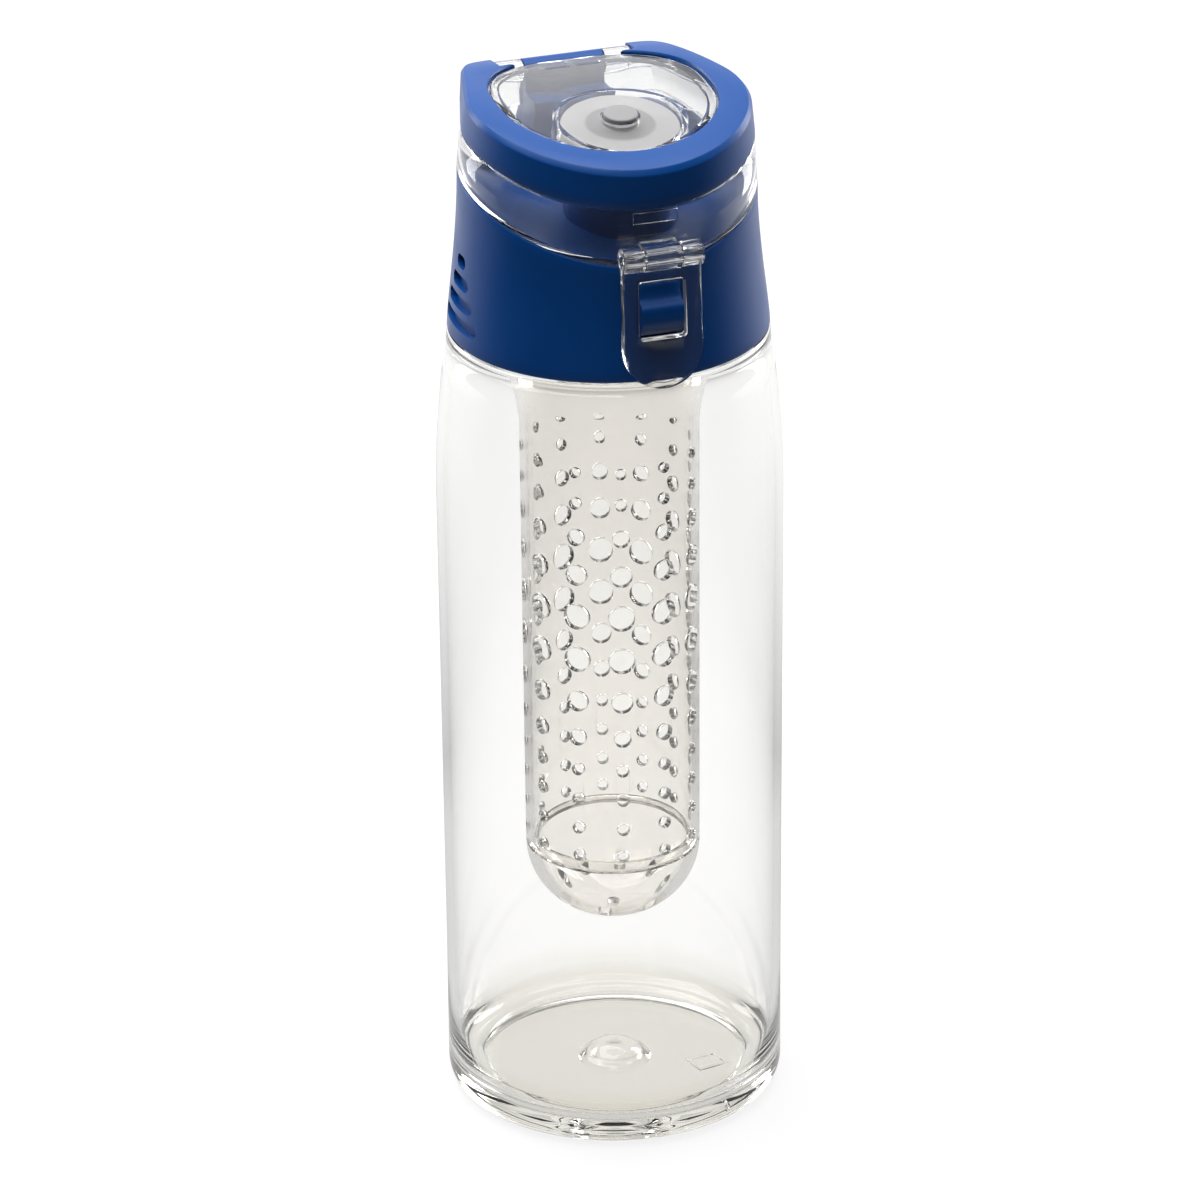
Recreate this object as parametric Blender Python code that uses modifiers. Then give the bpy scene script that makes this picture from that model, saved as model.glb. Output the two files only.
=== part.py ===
"""Fruit infuser sports bottle: clear bottle, screw collar, flip lid with clasp, infuser basket.

The frame is +Z up with the origin at the middle of the foot. The clasp is at the front (-Y) and
the lid's hinge at the back (+Y). All sizes below are in millimetres and are scaled to metres
where the meshes are made.
"""
import math

import bmesh
import bpy
from mathutils import Matrix, Vector

MM = 0.001
OBJECT_NAME = "infuser_bottle"
GAP = 0.3                    # clearance between touching pieces
SEGMENTS = 48                # sides of a large round piece
SMALL_SEGMENTS = 24          # sides of a small round piece
SMOOTH_ANGLE = math.radians(35)

# bottle
BODY_R = 36.5
BASE_R = 36.0
FOOT_R = 32.4
FOOT_INNER_R = 29.9
WALL = 1.8
SHOULDER_R = 33.7
SHOULDER_Z = 175.7
NECK_R = 29.0
NECK_BORE_R = 26.6
NECK_TOP_Z = 195.6
THREAD_R = 0.9
THREAD_LEAD = 4.5
THREAD_TURNS = 1.5

# collar
COLLAR_BOTTOM_Z = 176.1
COLLAR_BOTTOM_R = 33.6
COLLAR_TOP_R = 31.0
COLLAR_BORE_R = 30.6
CEILING_Z = 198.2
BOSS_R = 22.4
BOSS_BORE_R = 20.6
BOSS_BOTTOM_Z = 186.0
RIM_WIDTH = 2.6
DECK_DROP = 2.0
DECK_THICKNESS = 2.2
SPOUT_Y = -8.5
SPOUT_R = 11.0
SPOUT_BORE_R = 9.1
SPOUT_TOP_Z = 220.0
GRIP_Z = 180.9
GRIP_STEP = 4.27
GRIP_HALF_WIDTHS = (9.3, 7.0, 4.6, 2.2)
GRIP_HEIGHT = 2.8
GRIP_DEPTH = 0.9

# lid: heights of its three arched edges at the front, with their slope and curvature going back
FRONT_Y = -31.0
SEAM_ARC = (200.0, 0.4516, 0.00416)
TRIM_ARC = (212.6, 0.3387, 0.00375)
TOP_ARC = (220.8, 0.3, 0.0038)
LID_TOP_R = 29.5
LID_TOP_CENTRE = -1.3
LID_CORNER = (21.5, 32.2)
WINDOW_R = 22.8
WINDOW_CENTRE = -0.6
WINDOW_BACK = 28.0
WINDOW_BULGE = 0.3           # how much further the opening reaches at the back
TRIM_THICKNESS = 1.6
PLATE_DROP = 0.7
PLATE_THICKNESS = 1.6
SKIRT_WALL = 2.0
KNOB_HOLE_R = 4.1
HOLDER_R = 13.9

# lid hinge
HINGE_Y = 29.2
HINGE_Z = 221.9
BARREL_R = 2.9
BARREL_HALF = 8.6
KNUCKLE_END = 14.6
HINGE_PIN_R = 1.2
LEDGE_FRONT_Y = 20.6
LEDGE_Z = 217.6

# stopper
STOPPER_R = 12.3
STOPPER_Z = 222.1
PLUG_R = 8.3
KNOB_R = 3.6
KNOB_HEIGHT = 3.5

# clasp
CLASP_PIN_Y = -33.9
CLASP_PIN_Z = 203.4
CLASP_HALF = 8.5
CLASP_TIP_Z = 175.2
CLASP_THICKNESS = 2.0
CLASP_BARREL_R = 2.6
CLASP_LEAN = math.radians(3.6)
CLASP_INNER_Y = -34.1        # inner face at the collar's lower edge
CLASP_PIN_R = 0.8
CLASP_LUG_HALF = 3.8
WINDOW_HALF = 5.0
WINDOW_LOW_Z = 185.9
WINDOW_HIGH_Z = 198.2
CATCH_HALF = 4.5

# infuser
TUBE_TOP_R = 19.0
TUBE_BOTTOM_R = 18.6
TUBE_WALL = 1.5
TUBE_HEAD_R = 20.2
TUBE_TOP_Z = 196.2
TUBE_HEAD_Z = 186.8
TUBE_BOTTOM_Z = 57.4
DOME_DEPTH = 17.0
HOLE_COLUMNS = 12
HOLE_PHASE = math.radians(18.5)
# height and diameter of each ring of holes
HOLE_ROWS = ((149.4, 2.2), (142.4, 2.5), (134.7, 3.6), (126.1, 4.5), (116.5, 5.5), (106.7, 5.5),
             (97.0, 4.5), (88.6, 3.6), (81.1, 2.6), (74.2, 2.6), (67.3, 2.6), (60.9, 2.4))


# ---------------------------------------------------------------- scene and mesh helpers

def clear_scene():
    for item in list(bpy.data.objects):
        bpy.data.objects.remove(item, do_unlink=True)


def collection(name):
    group = bpy.data.collections.new(name)
    bpy.context.scene.collection.children.link(group)
    return group


def plastic(name, colour, roughness, metallic=0.0, transmission=0.0):
    finish = bpy.data.materials.new(name)
    finish.use_nodes = True
    shader = finish.node_tree.nodes["Principled BSDF"]
    shader.inputs["Base Color"].default_value = (*colour, 1.0)
    shader.inputs["Roughness"].default_value = roughness
    shader.inputs["Metallic"].default_value = metallic
    shader.inputs["Transmission Weight"].default_value = transmission
    return finish


def add_object(name, mesh, group, finish=None):
    item = bpy.data.objects.new(name, mesh)
    group.objects.link(item)
    if finish:
        mesh.materials.append(finish)
    return item


def smooth(item):
    item.data.shade_smooth()
    item.data.set_sharp_from_angle(angle=SMOOTH_ANGLE)


def as_cutter(item):
    item.hide_render = True
    item.display_type = "WIRE"
    return item


def boolean(target, other, operation):
    modifier = target.modifiers.new(operation.lower(), "BOOLEAN")
    modifier.operation = operation
    modifier.solver = "EXACT"
    modifier.object = other


def finish_mesh(mesh_data, name):
    mesh = bpy.data.meshes.new(name)
    bmesh.ops.recalc_face_normals(mesh_data, faces=mesh_data.faces)
    mesh_data.to_mesh(mesh)
    mesh_data.free()
    return mesh


def turned(name, profile, group, finish=None, steps=SEGMENTS, closed=False):
    """Turn a profile of (radius, height) about Z. It runs down its outer side."""
    mesh = bpy.data.meshes.new(name)
    points = [(radius * MM, 0.0, height * MM) for radius, height in profile]
    edges = [(index, index + 1) for index in range(len(points) - 1)]
    if closed:
        edges.append((len(points) - 1, 0))
    mesh.from_pydata(points, edges, [])
    item = add_object(name, mesh, group, finish)
    screw = item.modifiers.new("turn", "SCREW")
    screw.axis = "Z"
    screw.steps = steps
    screw.render_steps = steps
    screw.use_merge_vertices = True
    screw.merge_threshold = 0.000005
    screw.use_smooth_shade = True
    return item


def box_mesh(mesh_data, low, high):
    size = [(b - a) * MM for a, b in zip(low, high)]
    middle = [(a + b) / 2 * MM for a, b in zip(low, high)]
    place = Matrix.Translation(middle) @ Matrix.Diagonal((*size, 1.0))
    bmesh.ops.create_cube(mesh_data, size=1.0, matrix=place)


def rod_mesh(mesh_data, radius, half_length, centre, rotation, sides=SMALL_SEGMENTS, top_radius=None):
    place = Matrix.Translation([value * MM for value in centre]) @ rotation.to_4x4()
    bmesh.ops.create_cone(mesh_data, cap_ends=True, segments=sides, radius1=radius * MM,
                          radius2=(top_radius or radius) * MM, depth=2 * half_length * MM, matrix=place)


ALONG_X = Matrix.Rotation(math.pi / 2, 3, "Y")
ALONG_Y = Matrix.Rotation(math.pi / 2, 3, "X")
UPRIGHT = Matrix.Identity(3)


def box(name, low, high, group, finish=None):
    mesh_data = bmesh.new()
    box_mesh(mesh_data, low, high)
    return add_object(name, finish_mesh(mesh_data, name), group, finish)


def rod(name, radius, half_length, centre, rotation, group, finish=None, sides=SMALL_SEGMENTS):
    mesh_data = bmesh.new()
    rod_mesh(mesh_data, radius, half_length, centre, rotation, sides)
    return add_object(name, finish_mesh(mesh_data, name), group, finish)


def lofted(name, rings, group, finish=None):
    """Close a stack of rings of (x, y, z) into one solid, with a fan at each end."""
    mesh_data = bmesh.new()
    layers = []
    for ring in rings:
        layers.append([mesh_data.verts.new([value * MM for value in point]) for point in ring])
    for lower, upper in zip(layers, layers[1:]):
        for index in range(len(lower)):
            after = (index + 1) % len(lower)
            mesh_data.faces.new((lower[index], lower[after], upper[after], upper[index]))
    for layer in (layers[0], layers[-1]):
        middle = sum((vert.co for vert in layer), Vector()) / len(layer)
        centre = mesh_data.verts.new(middle)
        for index in range(len(layer)):
            mesh_data.faces.new((layer[index], layer[(index + 1) % len(layer)], centre))
    return add_object(name, finish_mesh(mesh_data, name), group, finish)


def prism(name, outline, thickness, group):
    """A flat outline in XY, filled and thickened along Z, as a mesh."""
    curve = bpy.data.curves.new(name, "CURVE")
    curve.dimensions = "2D"
    curve.fill_mode = "BOTH"
    curve.extrude = thickness / 2 * MM
    spline = curve.splines.new("POLY")
    spline.points.add(len(outline) - 1)
    for point, (x, y) in zip(spline.points, outline):
        point.co = (x * MM, y * MM, 0.0, 1.0)
    spline.use_cyclic_u = True
    shape = bpy.data.objects.new(name + "_outline", curve)
    group.objects.link(shape)
    depsgraph = bpy.context.evaluated_depsgraph_get()
    mesh = bpy.data.meshes.new_from_object(shape.evaluated_get(depsgraph))
    bpy.data.objects.remove(shape, do_unlink=True)
    mesh_data = bmesh.new()
    mesh_data.from_mesh(mesh)
    bmesh.ops.remove_doubles(mesh_data, verts=mesh_data.verts, dist=0.00001)
    return finish_mesh(mesh_data, name)


def arc_points(centre, radius, start, end, count):
    angles = [math.radians(start + (end - start) * index / count) for index in range(count + 1)]
    return [(centre[0] + radius * math.cos(a), centre[1] + radius * math.sin(a)) for a in angles]


# ---------------------------------------------------------------- the lid's shared outlines

def arc_height(arc, y):
    """Height of one of the lid's arched edges at a distance back from the front."""
    front, slope, curvature = arc
    back = y - FRONT_Y
    return front + slope * back - curvature * back * back


def polar_angles(count):
    return [2 * math.pi * (index + 0.5) / count for index in range(count)]


def soft_minimum(values, power=16.0):
    return sum(value ** -power for value in values) ** (-1.0 / power)


def lid_radius(angle, front_radius, centre_y, corner):
    """Radius at an angle from the front of the D outline: a round front, straight sides, a flat back."""
    x, y = math.sin(angle), -math.cos(angle)
    # round front, centred on the Y axis
    dot = y * centre_y
    round_front = dot + math.sqrt(dot * dot - centre_y * centre_y + front_radius * front_radius)
    # side line tangent to the round front and through the corner
    corner_x, corner_y = corner
    reach = math.hypot(corner_x, corner_y - centre_y)
    tangent = math.atan2(corner_y - centre_y, corner_x) - math.acos(front_radius / reach)
    normal = (math.cos(tangent), math.sin(tangent))
    if math.atan2(round_front * y - centre_y, abs(round_front * x)) < tangent:
        return round_front
    side_distance = front_radius + normal[1] * centre_y
    along_side = side_distance / (abs(x) * normal[0] + y * normal[1])
    if y <= 0.05:
        return along_side
    return min(soft_minimum((along_side, corner_y / y)), along_side)


def top_radius(angle):
    return lid_radius(angle, LID_TOP_R, LID_TOP_CENTRE, LID_CORNER)


def seam_radius(angle):
    return lid_radius(angle, COLLAR_TOP_R, 0.0, LID_CORNER)


def trim_radius(angle):
    return lid_radius(angle, (LID_TOP_R + COLLAR_TOP_R) / 2, LID_TOP_CENTRE / 2, LID_CORNER)


def window_radius(angle):
    """The egg-shaped opening in the trim ring, flattened at the back."""
    y = -math.cos(angle)
    dot = y * WINDOW_CENTRE
    egg = dot + math.sqrt(dot * dot - WINDOW_CENTRE * WINDOW_CENTRE + WINDOW_R * WINDOW_R)
    egg *= 1.0 + WINDOW_BULGE * max(0.0, y) ** 1.5
    if y <= 0.2:
        return egg
    return soft_minimum((egg, WINDOW_BACK / y), 14.0)


def outline_ring(radius_at, arc, drop=0.0, inset=0.0, count=64, scale=1.0):
    """Points round a polar outline, with heights from an arched edge."""
    ring = []
    for angle in polar_angles(count):
        radius = (radius_at(angle) - inset) * scale
        x, y = radius * math.sin(angle), -radius * math.cos(angle)
        ring.append((x, y, arc_height(arc, y) - drop))
    return ring


def round_ring(radius, height, count=64):
    return [(radius * math.sin(a), -radius * math.cos(a), height) for a in polar_angles(count)]


# ---------------------------------------------------------------- bottle

def bottle_profile():
    inside = [(0.0, 7.4), (5.0, 6.6), (7.5, 4.6), (24.0, 4.2), (30.5, 5.0), (33.6, 7.6), (34.2, 11.0)]
    inside += [(BODY_R - WALL, 141.0), (BODY_R - WALL - 0.4, 152.0), (33.6, 161.0), (31.9, 172.0),
               (NECK_BORE_R + 1.4, 175.0), (NECK_BORE_R, 177.5), (NECK_BORE_R, NECK_TOP_Z)]
    rim = [(NECK_R - 0.5, NECK_TOP_Z), (NECK_R, NECK_TOP_Z - 0.5)]
    outside = [(NECK_R, 177.0), (NECK_R + 0.6, SHOULDER_Z), (SHOULDER_R - 0.5, SHOULDER_Z),
               (SHOULDER_R + 0.1, SHOULDER_Z - 0.8), (34.6, 167.8), (35.4, 161.0), (36.1, 152.5),
               (BODY_R, 141.0), (BASE_R, 10.0)]
    heel = [(FOOT_R + (BASE_R - FOOT_R) * math.cos(a), 6.0 - 6.0 * math.sin(a))
            for a in (math.radians(d) for d in (0, 22, 45, 68, 90))]
    underside = [(FOOT_INNER_R, 0.0), (FOOT_INNER_R - 1.6, 1.6), (9.0, 2.2), (6.5, 3.6), (0.0, 4.4)]
    return inside + rim + outside + heel + underside


def make_thread(parts):
    """The raised thread round the neck, as a half-buried rod on a helix."""
    curve = bpy.data.curves.new("thread", "CURVE")
    curve.dimensions = "3D"
    curve.bevel_depth = THREAD_R * MM
    curve.bevel_resolution = 1
    curve.use_fill_caps = True
    spline = curve.splines.new("POLY")
    count = 30
    spline.points.add(count - 1)
    for index, point in enumerate(spline.points):
        share = index / (count - 1)
        angle = share * THREAD_TURNS * 2 * math.pi
        height = 182.5 + share * THREAD_TURNS * THREAD_LEAD
        point.co = (NECK_R * math.cos(angle) * MM, NECK_R * math.sin(angle) * MM, height * MM, 1.0)
    shape = bpy.data.objects.new("thread_path", curve)
    parts.objects.link(shape)
    depsgraph = bpy.context.evaluated_depsgraph_get()
    mesh = bpy.data.meshes.new_from_object(shape.evaluated_get(depsgraph))
    bpy.data.objects.remove(shape, do_unlink=True)
    mesh_data = bmesh.new()
    mesh_data.from_mesh(mesh)
    bmesh.ops.remove_doubles(mesh_data, verts=mesh_data.verts, dist=0.00001)
    return finish_mesh(mesh_data, "thread")


def make_bottle(parts, cutters, finish):
    bottle = turned("bottle_body", bottle_profile(), parts, finish)
    thread = as_cutter(add_object("thread_ridge", make_thread(cutters), cutters))
    boolean(bottle, thread, "UNION")
    return bottle


# ---------------------------------------------------------------- collar

def collar_rings():
    rings = []
    levels = 6
    for level in range(levels + 1):
        share = level / levels
        ring = []
        for angle in polar_angles(64):
            top = seam_radius(angle)
            # the collar draws in quickly from its lower edge and then rises nearly straight
            blend = math.sin(share * math.pi / 2) ** 1.2
            radius = COLLAR_BOTTOM_R + (top - COLLAR_BOTTOM_R) * blend
            top_z = arc_height(SEAM_ARC, -top * math.cos(angle))
            height = COLLAR_BOTTOM_Z + (top_z - COLLAR_BOTTOM_Z) * share
            ring.append((radius * math.sin(angle), -radius * math.cos(angle), height))
        rings.append(ring)
    rings.append(outline_ring(seam_radius, SEAM_ARC, inset=RIM_WIDTH))
    rings.append(outline_ring(seam_radius, SEAM_ARC, inset=RIM_WIDTH + 0.2, drop=DECK_DROP))
    rings.append(outline_ring(seam_radius, SEAM_ARC, inset=RIM_WIDTH, drop=DECK_DROP, scale=0.6))
    rings.append(outline_ring(seam_radius, SEAM_ARC, inset=RIM_WIDTH, drop=DECK_DROP, scale=0.2))
    return rings


def collar_cavity(cutters):
    profile = [(0.0, CEILING_Z), (BOSS_BORE_R, CEILING_Z), (BOSS_BORE_R, BOSS_BOTTOM_Z),
               (BOSS_R, BOSS_BOTTOM_Z), (BOSS_R, CEILING_Z), (COLLAR_BORE_R, CEILING_Z),
               (COLLAR_BORE_R, COLLAR_BOTTOM_Z + 2.0), (COLLAR_BORE_R + 0.9, COLLAR_BOTTOM_Z),
               (COLLAR_BORE_R + 0.9, 170.0), (0.0, 170.0)]
    return as_cutter(turned("collar_cavity", profile, cutters))


def collar_ceiling_pocket(cutters):
    """Raises the ceiling inside the infuser's boss so that the deck keeps an even thickness."""
    radius = BOSS_BORE_R - 2.2
    top = outline_ring(lambda angle: radius, SEAM_ARC, drop=DECK_DROP + DECK_THICKNESS, count=40)
    inner = outline_ring(lambda angle: radius * 0.4, SEAM_ARC, drop=DECK_DROP + DECK_THICKNESS, count=40)
    rings = [round_ring(radius, CEILING_Z - 1.0, 40), top, inner]
    return as_cutter(lofted("collar_pocket", rings, cutters))


def grip_slots(cutters):
    """Four rounded slots on each side, shorter towards the top."""
    mesh_data = bmesh.new()
    for side in (-1, 1):
        for index, half_width in enumerate(GRIP_HALF_WIDTHS):
            height = GRIP_Z + index * GRIP_STEP
            surface = COLLAR_BOTTOM_R - 0.115 * (height - COLLAR_BOTTOM_Z)
            depth = surface - GRIP_DEPTH
            # a slot follows the round wall, so it is a ring sector laid out as short blocks
            count = 6
            reach = half_width / surface
            edges = [-reach + 2 * reach * step / count for step in range(count + 1)]
            inner = [(depth * math.cos(a), depth * math.sin(a)) for a in edges]
            outer = [((surface + 4) * math.cos(a), (surface + 4) * math.sin(a)) for a in edges]
            plan = inner + outer[::-1]
            low = [mesh_data.verts.new((side * x * MM, y * MM, (height - GRIP_HEIGHT / 2) * MM))
                   for x, y in plan]
            high = [mesh_data.verts.new((side * x * MM, y * MM, (height + GRIP_HEIGHT / 2) * MM))
                    for x, y in plan]
            mesh_data.faces.new(low)
            mesh_data.faces.new(high)
            for spot in range(len(plan)):
                after = (spot + 1) % len(plan)
                mesh_data.faces.new((low[spot], low[after], high[after], high[spot]))
    return as_cutter(add_object("grip_slots", finish_mesh(mesh_data, "grip_slots"), cutters))


def side_block(name, side_view, half_width, cutters):
    """A block drawn in side view, as (distance to the front, height), and extruded across X."""
    mesh = prism(name, side_view, 2 * half_width, cutters)
    mesh.transform(Matrix(((0, 0, 1, 0), (-1, 0, 0, 0), (0, 1, 0, 0), (0, 0, 0, 1))))
    return as_cutter(add_object(name, mesh, cutters))


def catch(cutters):
    """The nose that the clasp's window drops over."""
    side_view = [(30.4, 197.4), (31.6, 197.0), (32.4, 195.6), (33.4, 193.6), (34.9, 192.6), (35.1, 192.0),
                 (35.1, 189.3), (33.4, 186.3), (31.0, 186.3)]
    return side_block("catch", side_view, CATCH_HALF, cutters)


def plate_tilt():
    """Slope of the lid's top over the spout."""
    back = SPOUT_Y - FRONT_Y
    return math.atan(TOP_ARC[1] - 2 * TOP_ARC[2] * back)


def spout_ring(radius, drop):
    """A ring round the spout, sloping with the lid's top."""
    slope = math.tan(plate_tilt())
    ring = round_ring(radius, 0.0, 36)
    return [(x, y + SPOUT_Y, SPOUT_TOP_Z - drop + y * slope) for x, y, z in ring]


def spout_post(cutters):
    foot = [(x, y + SPOUT_Y, z) for x, y, z in round_ring(SPOUT_R, 203.0, 36)]
    rings = [foot, spout_ring(SPOUT_R, 0.8), spout_ring(SPOUT_R - 0.7, 0.0)]
    return as_cutter(lofted("spout_post", rings, cutters))


def hinge_tower(cutters):
    mesh_data = bmesh.new()
    box_mesh(mesh_data, (-BARREL_HALF, HINGE_Y - 2.2, 209.5), (BARREL_HALF, HINGE_Y + BARREL_R, HINGE_Z))
    return as_cutter(add_object("hinge_tower", finish_mesh(mesh_data, "hinge_tower"), cutters))


def make_collar(parts, cutters, finish):
    collar = lofted("collar", collar_rings(), parts, finish)
    boolean(collar, collar_cavity(cutters), "DIFFERENCE")
    boolean(collar, collar_ceiling_pocket(cutters), "DIFFERENCE")
    boolean(collar, grip_slots(cutters), "DIFFERENCE")
    boolean(collar, spout_post(cutters), "UNION")
    spout_middle = (0.0, SPOUT_Y, (SPOUT_TOP_Z + 196.0) / 2)
    bore = rod("spout_bore", SPOUT_BORE_R, 16.0, spout_middle, UPRIGHT, cutters, sides=36)
    boolean(collar, as_cutter(bore), "DIFFERENCE")
    boolean(collar, hinge_tower(cutters), "UNION")
    # ledge in front of the tower
    ledge = box("hinge_ledge", (-BARREL_HALF - 0.2, LEDGE_FRONT_Y, 209.0), (BARREL_HALF + 0.2, 28.5, LEDGE_Z), cutters)
    boolean(collar, as_cutter(ledge), "UNION")
    barrel = rod("hinge_barrel", BARREL_R, BARREL_HALF, (0.0, HINGE_Y, HINGE_Z), ALONG_X, cutters)
    boolean(collar, as_cutter(barrel), "UNION")
    pin_bore = rod("hinge_bore", HINGE_PIN_R + GAP, BARREL_HALF + 1, (0.0, HINGE_Y, HINGE_Z), ALONG_X,
                   cutters, sides=16)
    boolean(collar, as_cutter(pin_bore), "DIFFERENCE")
    boolean(collar, catch(cutters), "UNION")
    smooth(collar)
    return collar


# ---------------------------------------------------------------- seals and infuser

def flat_ring(name, inner, outer, low, high, group, finish):
    profile = [(inner, high), (outer, high), (outer, low), (inner, low)]
    return turned(name, profile, group, finish, steps=48, closed=True)


def make_infuser_tube(parts, cutters, finish):
    outside = [(TUBE_HEAD_R, TUBE_TOP_Z), (TUBE_HEAD_R, TUBE_HEAD_Z + 0.9), (TUBE_TOP_R, TUBE_HEAD_Z),
               (TUBE_BOTTOM_R, TUBE_BOTTOM_Z)]
    inside = [(TUBE_BOTTOM_R - TUBE_WALL, TUBE_BOTTOM_Z), (TUBE_TOP_R - TUBE_WALL, TUBE_TOP_Z)]
    tube = turned("infuser_tube", outside + inside, parts, finish, steps=30, closed=True)
    mesh_data = bmesh.new()
    for height, diameter in HOLE_ROWS:
        for column in range(HOLE_COLUMNS):
            angle = HOLE_PHASE + column * 2 * math.pi / HOLE_COLUMNS
            spot = (TUBE_TOP_R * math.sin(angle), -TUBE_TOP_R * math.cos(angle), height)
            turn = Matrix.Rotation(angle, 3, "Z") @ ALONG_Y
            rod_mesh(mesh_data, diameter / 2, 4.0, spot, turn, 6)
    holes = as_cutter(add_object("tube_holes", finish_mesh(mesh_data, "tube_holes"), cutters))
    boolean(tube, holes, "DIFFERENCE")
    return tube


def make_end_cap(parts, cutters, finish):
    """The domed end, which pushes up inside the tube on a short spigot."""
    seam_z = TUBE_BOTTOM_Z - GAP
    spigot_r = TUBE_BOTTOM_R - TUBE_WALL - GAP
    angles = [math.radians(90 * index / 7) for index in range(8)]
    depth_in = DOME_DEPTH - TUBE_WALL
    radius_in = spigot_r - TUBE_WALL + 0.3
    inner = [(radius_in * math.sin(a), seam_z - depth_in * math.cos(a)) for a in angles]
    inner.append((spigot_r - TUBE_WALL + 0.3, seam_z + 2.0))
    rim = [(spigot_r, seam_z + 2.0), (spigot_r, seam_z)]
    outer = [(TUBE_BOTTOM_R * math.cos(a), seam_z - DOME_DEPTH * math.sin(a)) for a in angles]
    cap = turned("infuser_end_cap", inner + rim + outer, parts, finish, steps=32)
    mesh_data = bmesh.new()
    for index in range(8):
        angle = HOLE_PHASE + index * math.pi / 4
        spot = (11.5 * math.sin(angle), -11.5 * math.cos(angle), seam_z - 14.0)
        rod_mesh(mesh_data, 1.4, 6.0, spot, UPRIGHT, 8)
    rod_mesh(mesh_data, 1.4, 6.0, (0.0, 0.0, seam_z - DOME_DEPTH), UPRIGHT, 8)
    drains = as_cutter(add_object("cap_drains", finish_mesh(mesh_data, "cap_drains"), cutters))
    boolean(cap, drains, "DIFFERENCE")
    return cap


# ---------------------------------------------------------------- lid

def lifted_at_back(ring):
    """Raise the skirt's edge off the collar, more at the back where it swings down past the rim."""
    raised = []
    for x, y, z in ring:
        lift = GAP + 1.5 * min(1.0, max(0.0, (y - 20.0) / 8.0))
        raised.append((x, y, z + lift))
    return raised


def lid_shell_rings():
    """Outside of the clear lid: the skirt, a step under the trim ring, and the raised window plate."""
    under_trim = TRIM_THICKNESS + GAP
    rings = [lifted_at_back(outline_ring(seam_radius, SEAM_ARC, inset=SKIRT_WALL + 1.5)),
             lifted_at_back(outline_ring(seam_radius, SEAM_ARC))]
    rings.append(outline_ring(trim_radius, TRIM_ARC, drop=GAP))
    rings.append(outline_ring(trim_radius, TRIM_ARC, drop=GAP, inset=under_trim))
    rings.append(outline_ring(top_radius, TOP_ARC, drop=under_trim, inset=under_trim))
    rings.append(outline_ring(window_radius, TOP_ARC, drop=under_trim, inset=GAP))
    rings.append(outline_ring(window_radius, TOP_ARC, drop=PLATE_DROP, inset=GAP))
    rings.append(outline_ring(window_radius, TOP_ARC, drop=PLATE_DROP, inset=GAP, scale=0.55))
    rings.append(outline_ring(window_radius, TOP_ARC, drop=PLATE_DROP, inset=GAP, scale=0.15))
    return rings


def lid_hollow(cutters):
    wall = SKIRT_WALL
    band_drop = TRIM_THICKNESS + GAP + PLATE_THICKNESS
    plate_drop = PLATE_DROP + PLATE_THICKNESS
    inset = TRIM_THICKNESS + GAP + 1.6
    rings = [outline_ring(seam_radius, SEAM_ARC, drop=4.0, inset=wall),
             outline_ring(seam_radius, SEAM_ARC, drop=-2.0, inset=wall),
             outline_ring(trim_radius, TRIM_ARC, drop=2.5, inset=wall),
             outline_ring(trim_radius, TRIM_ARC, drop=0.5, inset=inset),
             outline_ring(top_radius, TOP_ARC, drop=band_drop, inset=inset),
             outline_ring(window_radius, TOP_ARC, drop=band_drop, inset=1.9),
             outline_ring(window_radius, TOP_ARC, drop=plate_drop, inset=1.9),
             outline_ring(window_radius, TOP_ARC, drop=plate_drop, inset=1.9, scale=0.5)]
    return as_cutter(lofted("lid_hollow", rings, cutters))


def stopper_place():
    spot = (0.0, SPOUT_Y * MM, STOPPER_Z * MM)
    return Matrix.Translation(spot) @ Matrix.Rotation(plate_tilt(), 4, "X")


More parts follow.
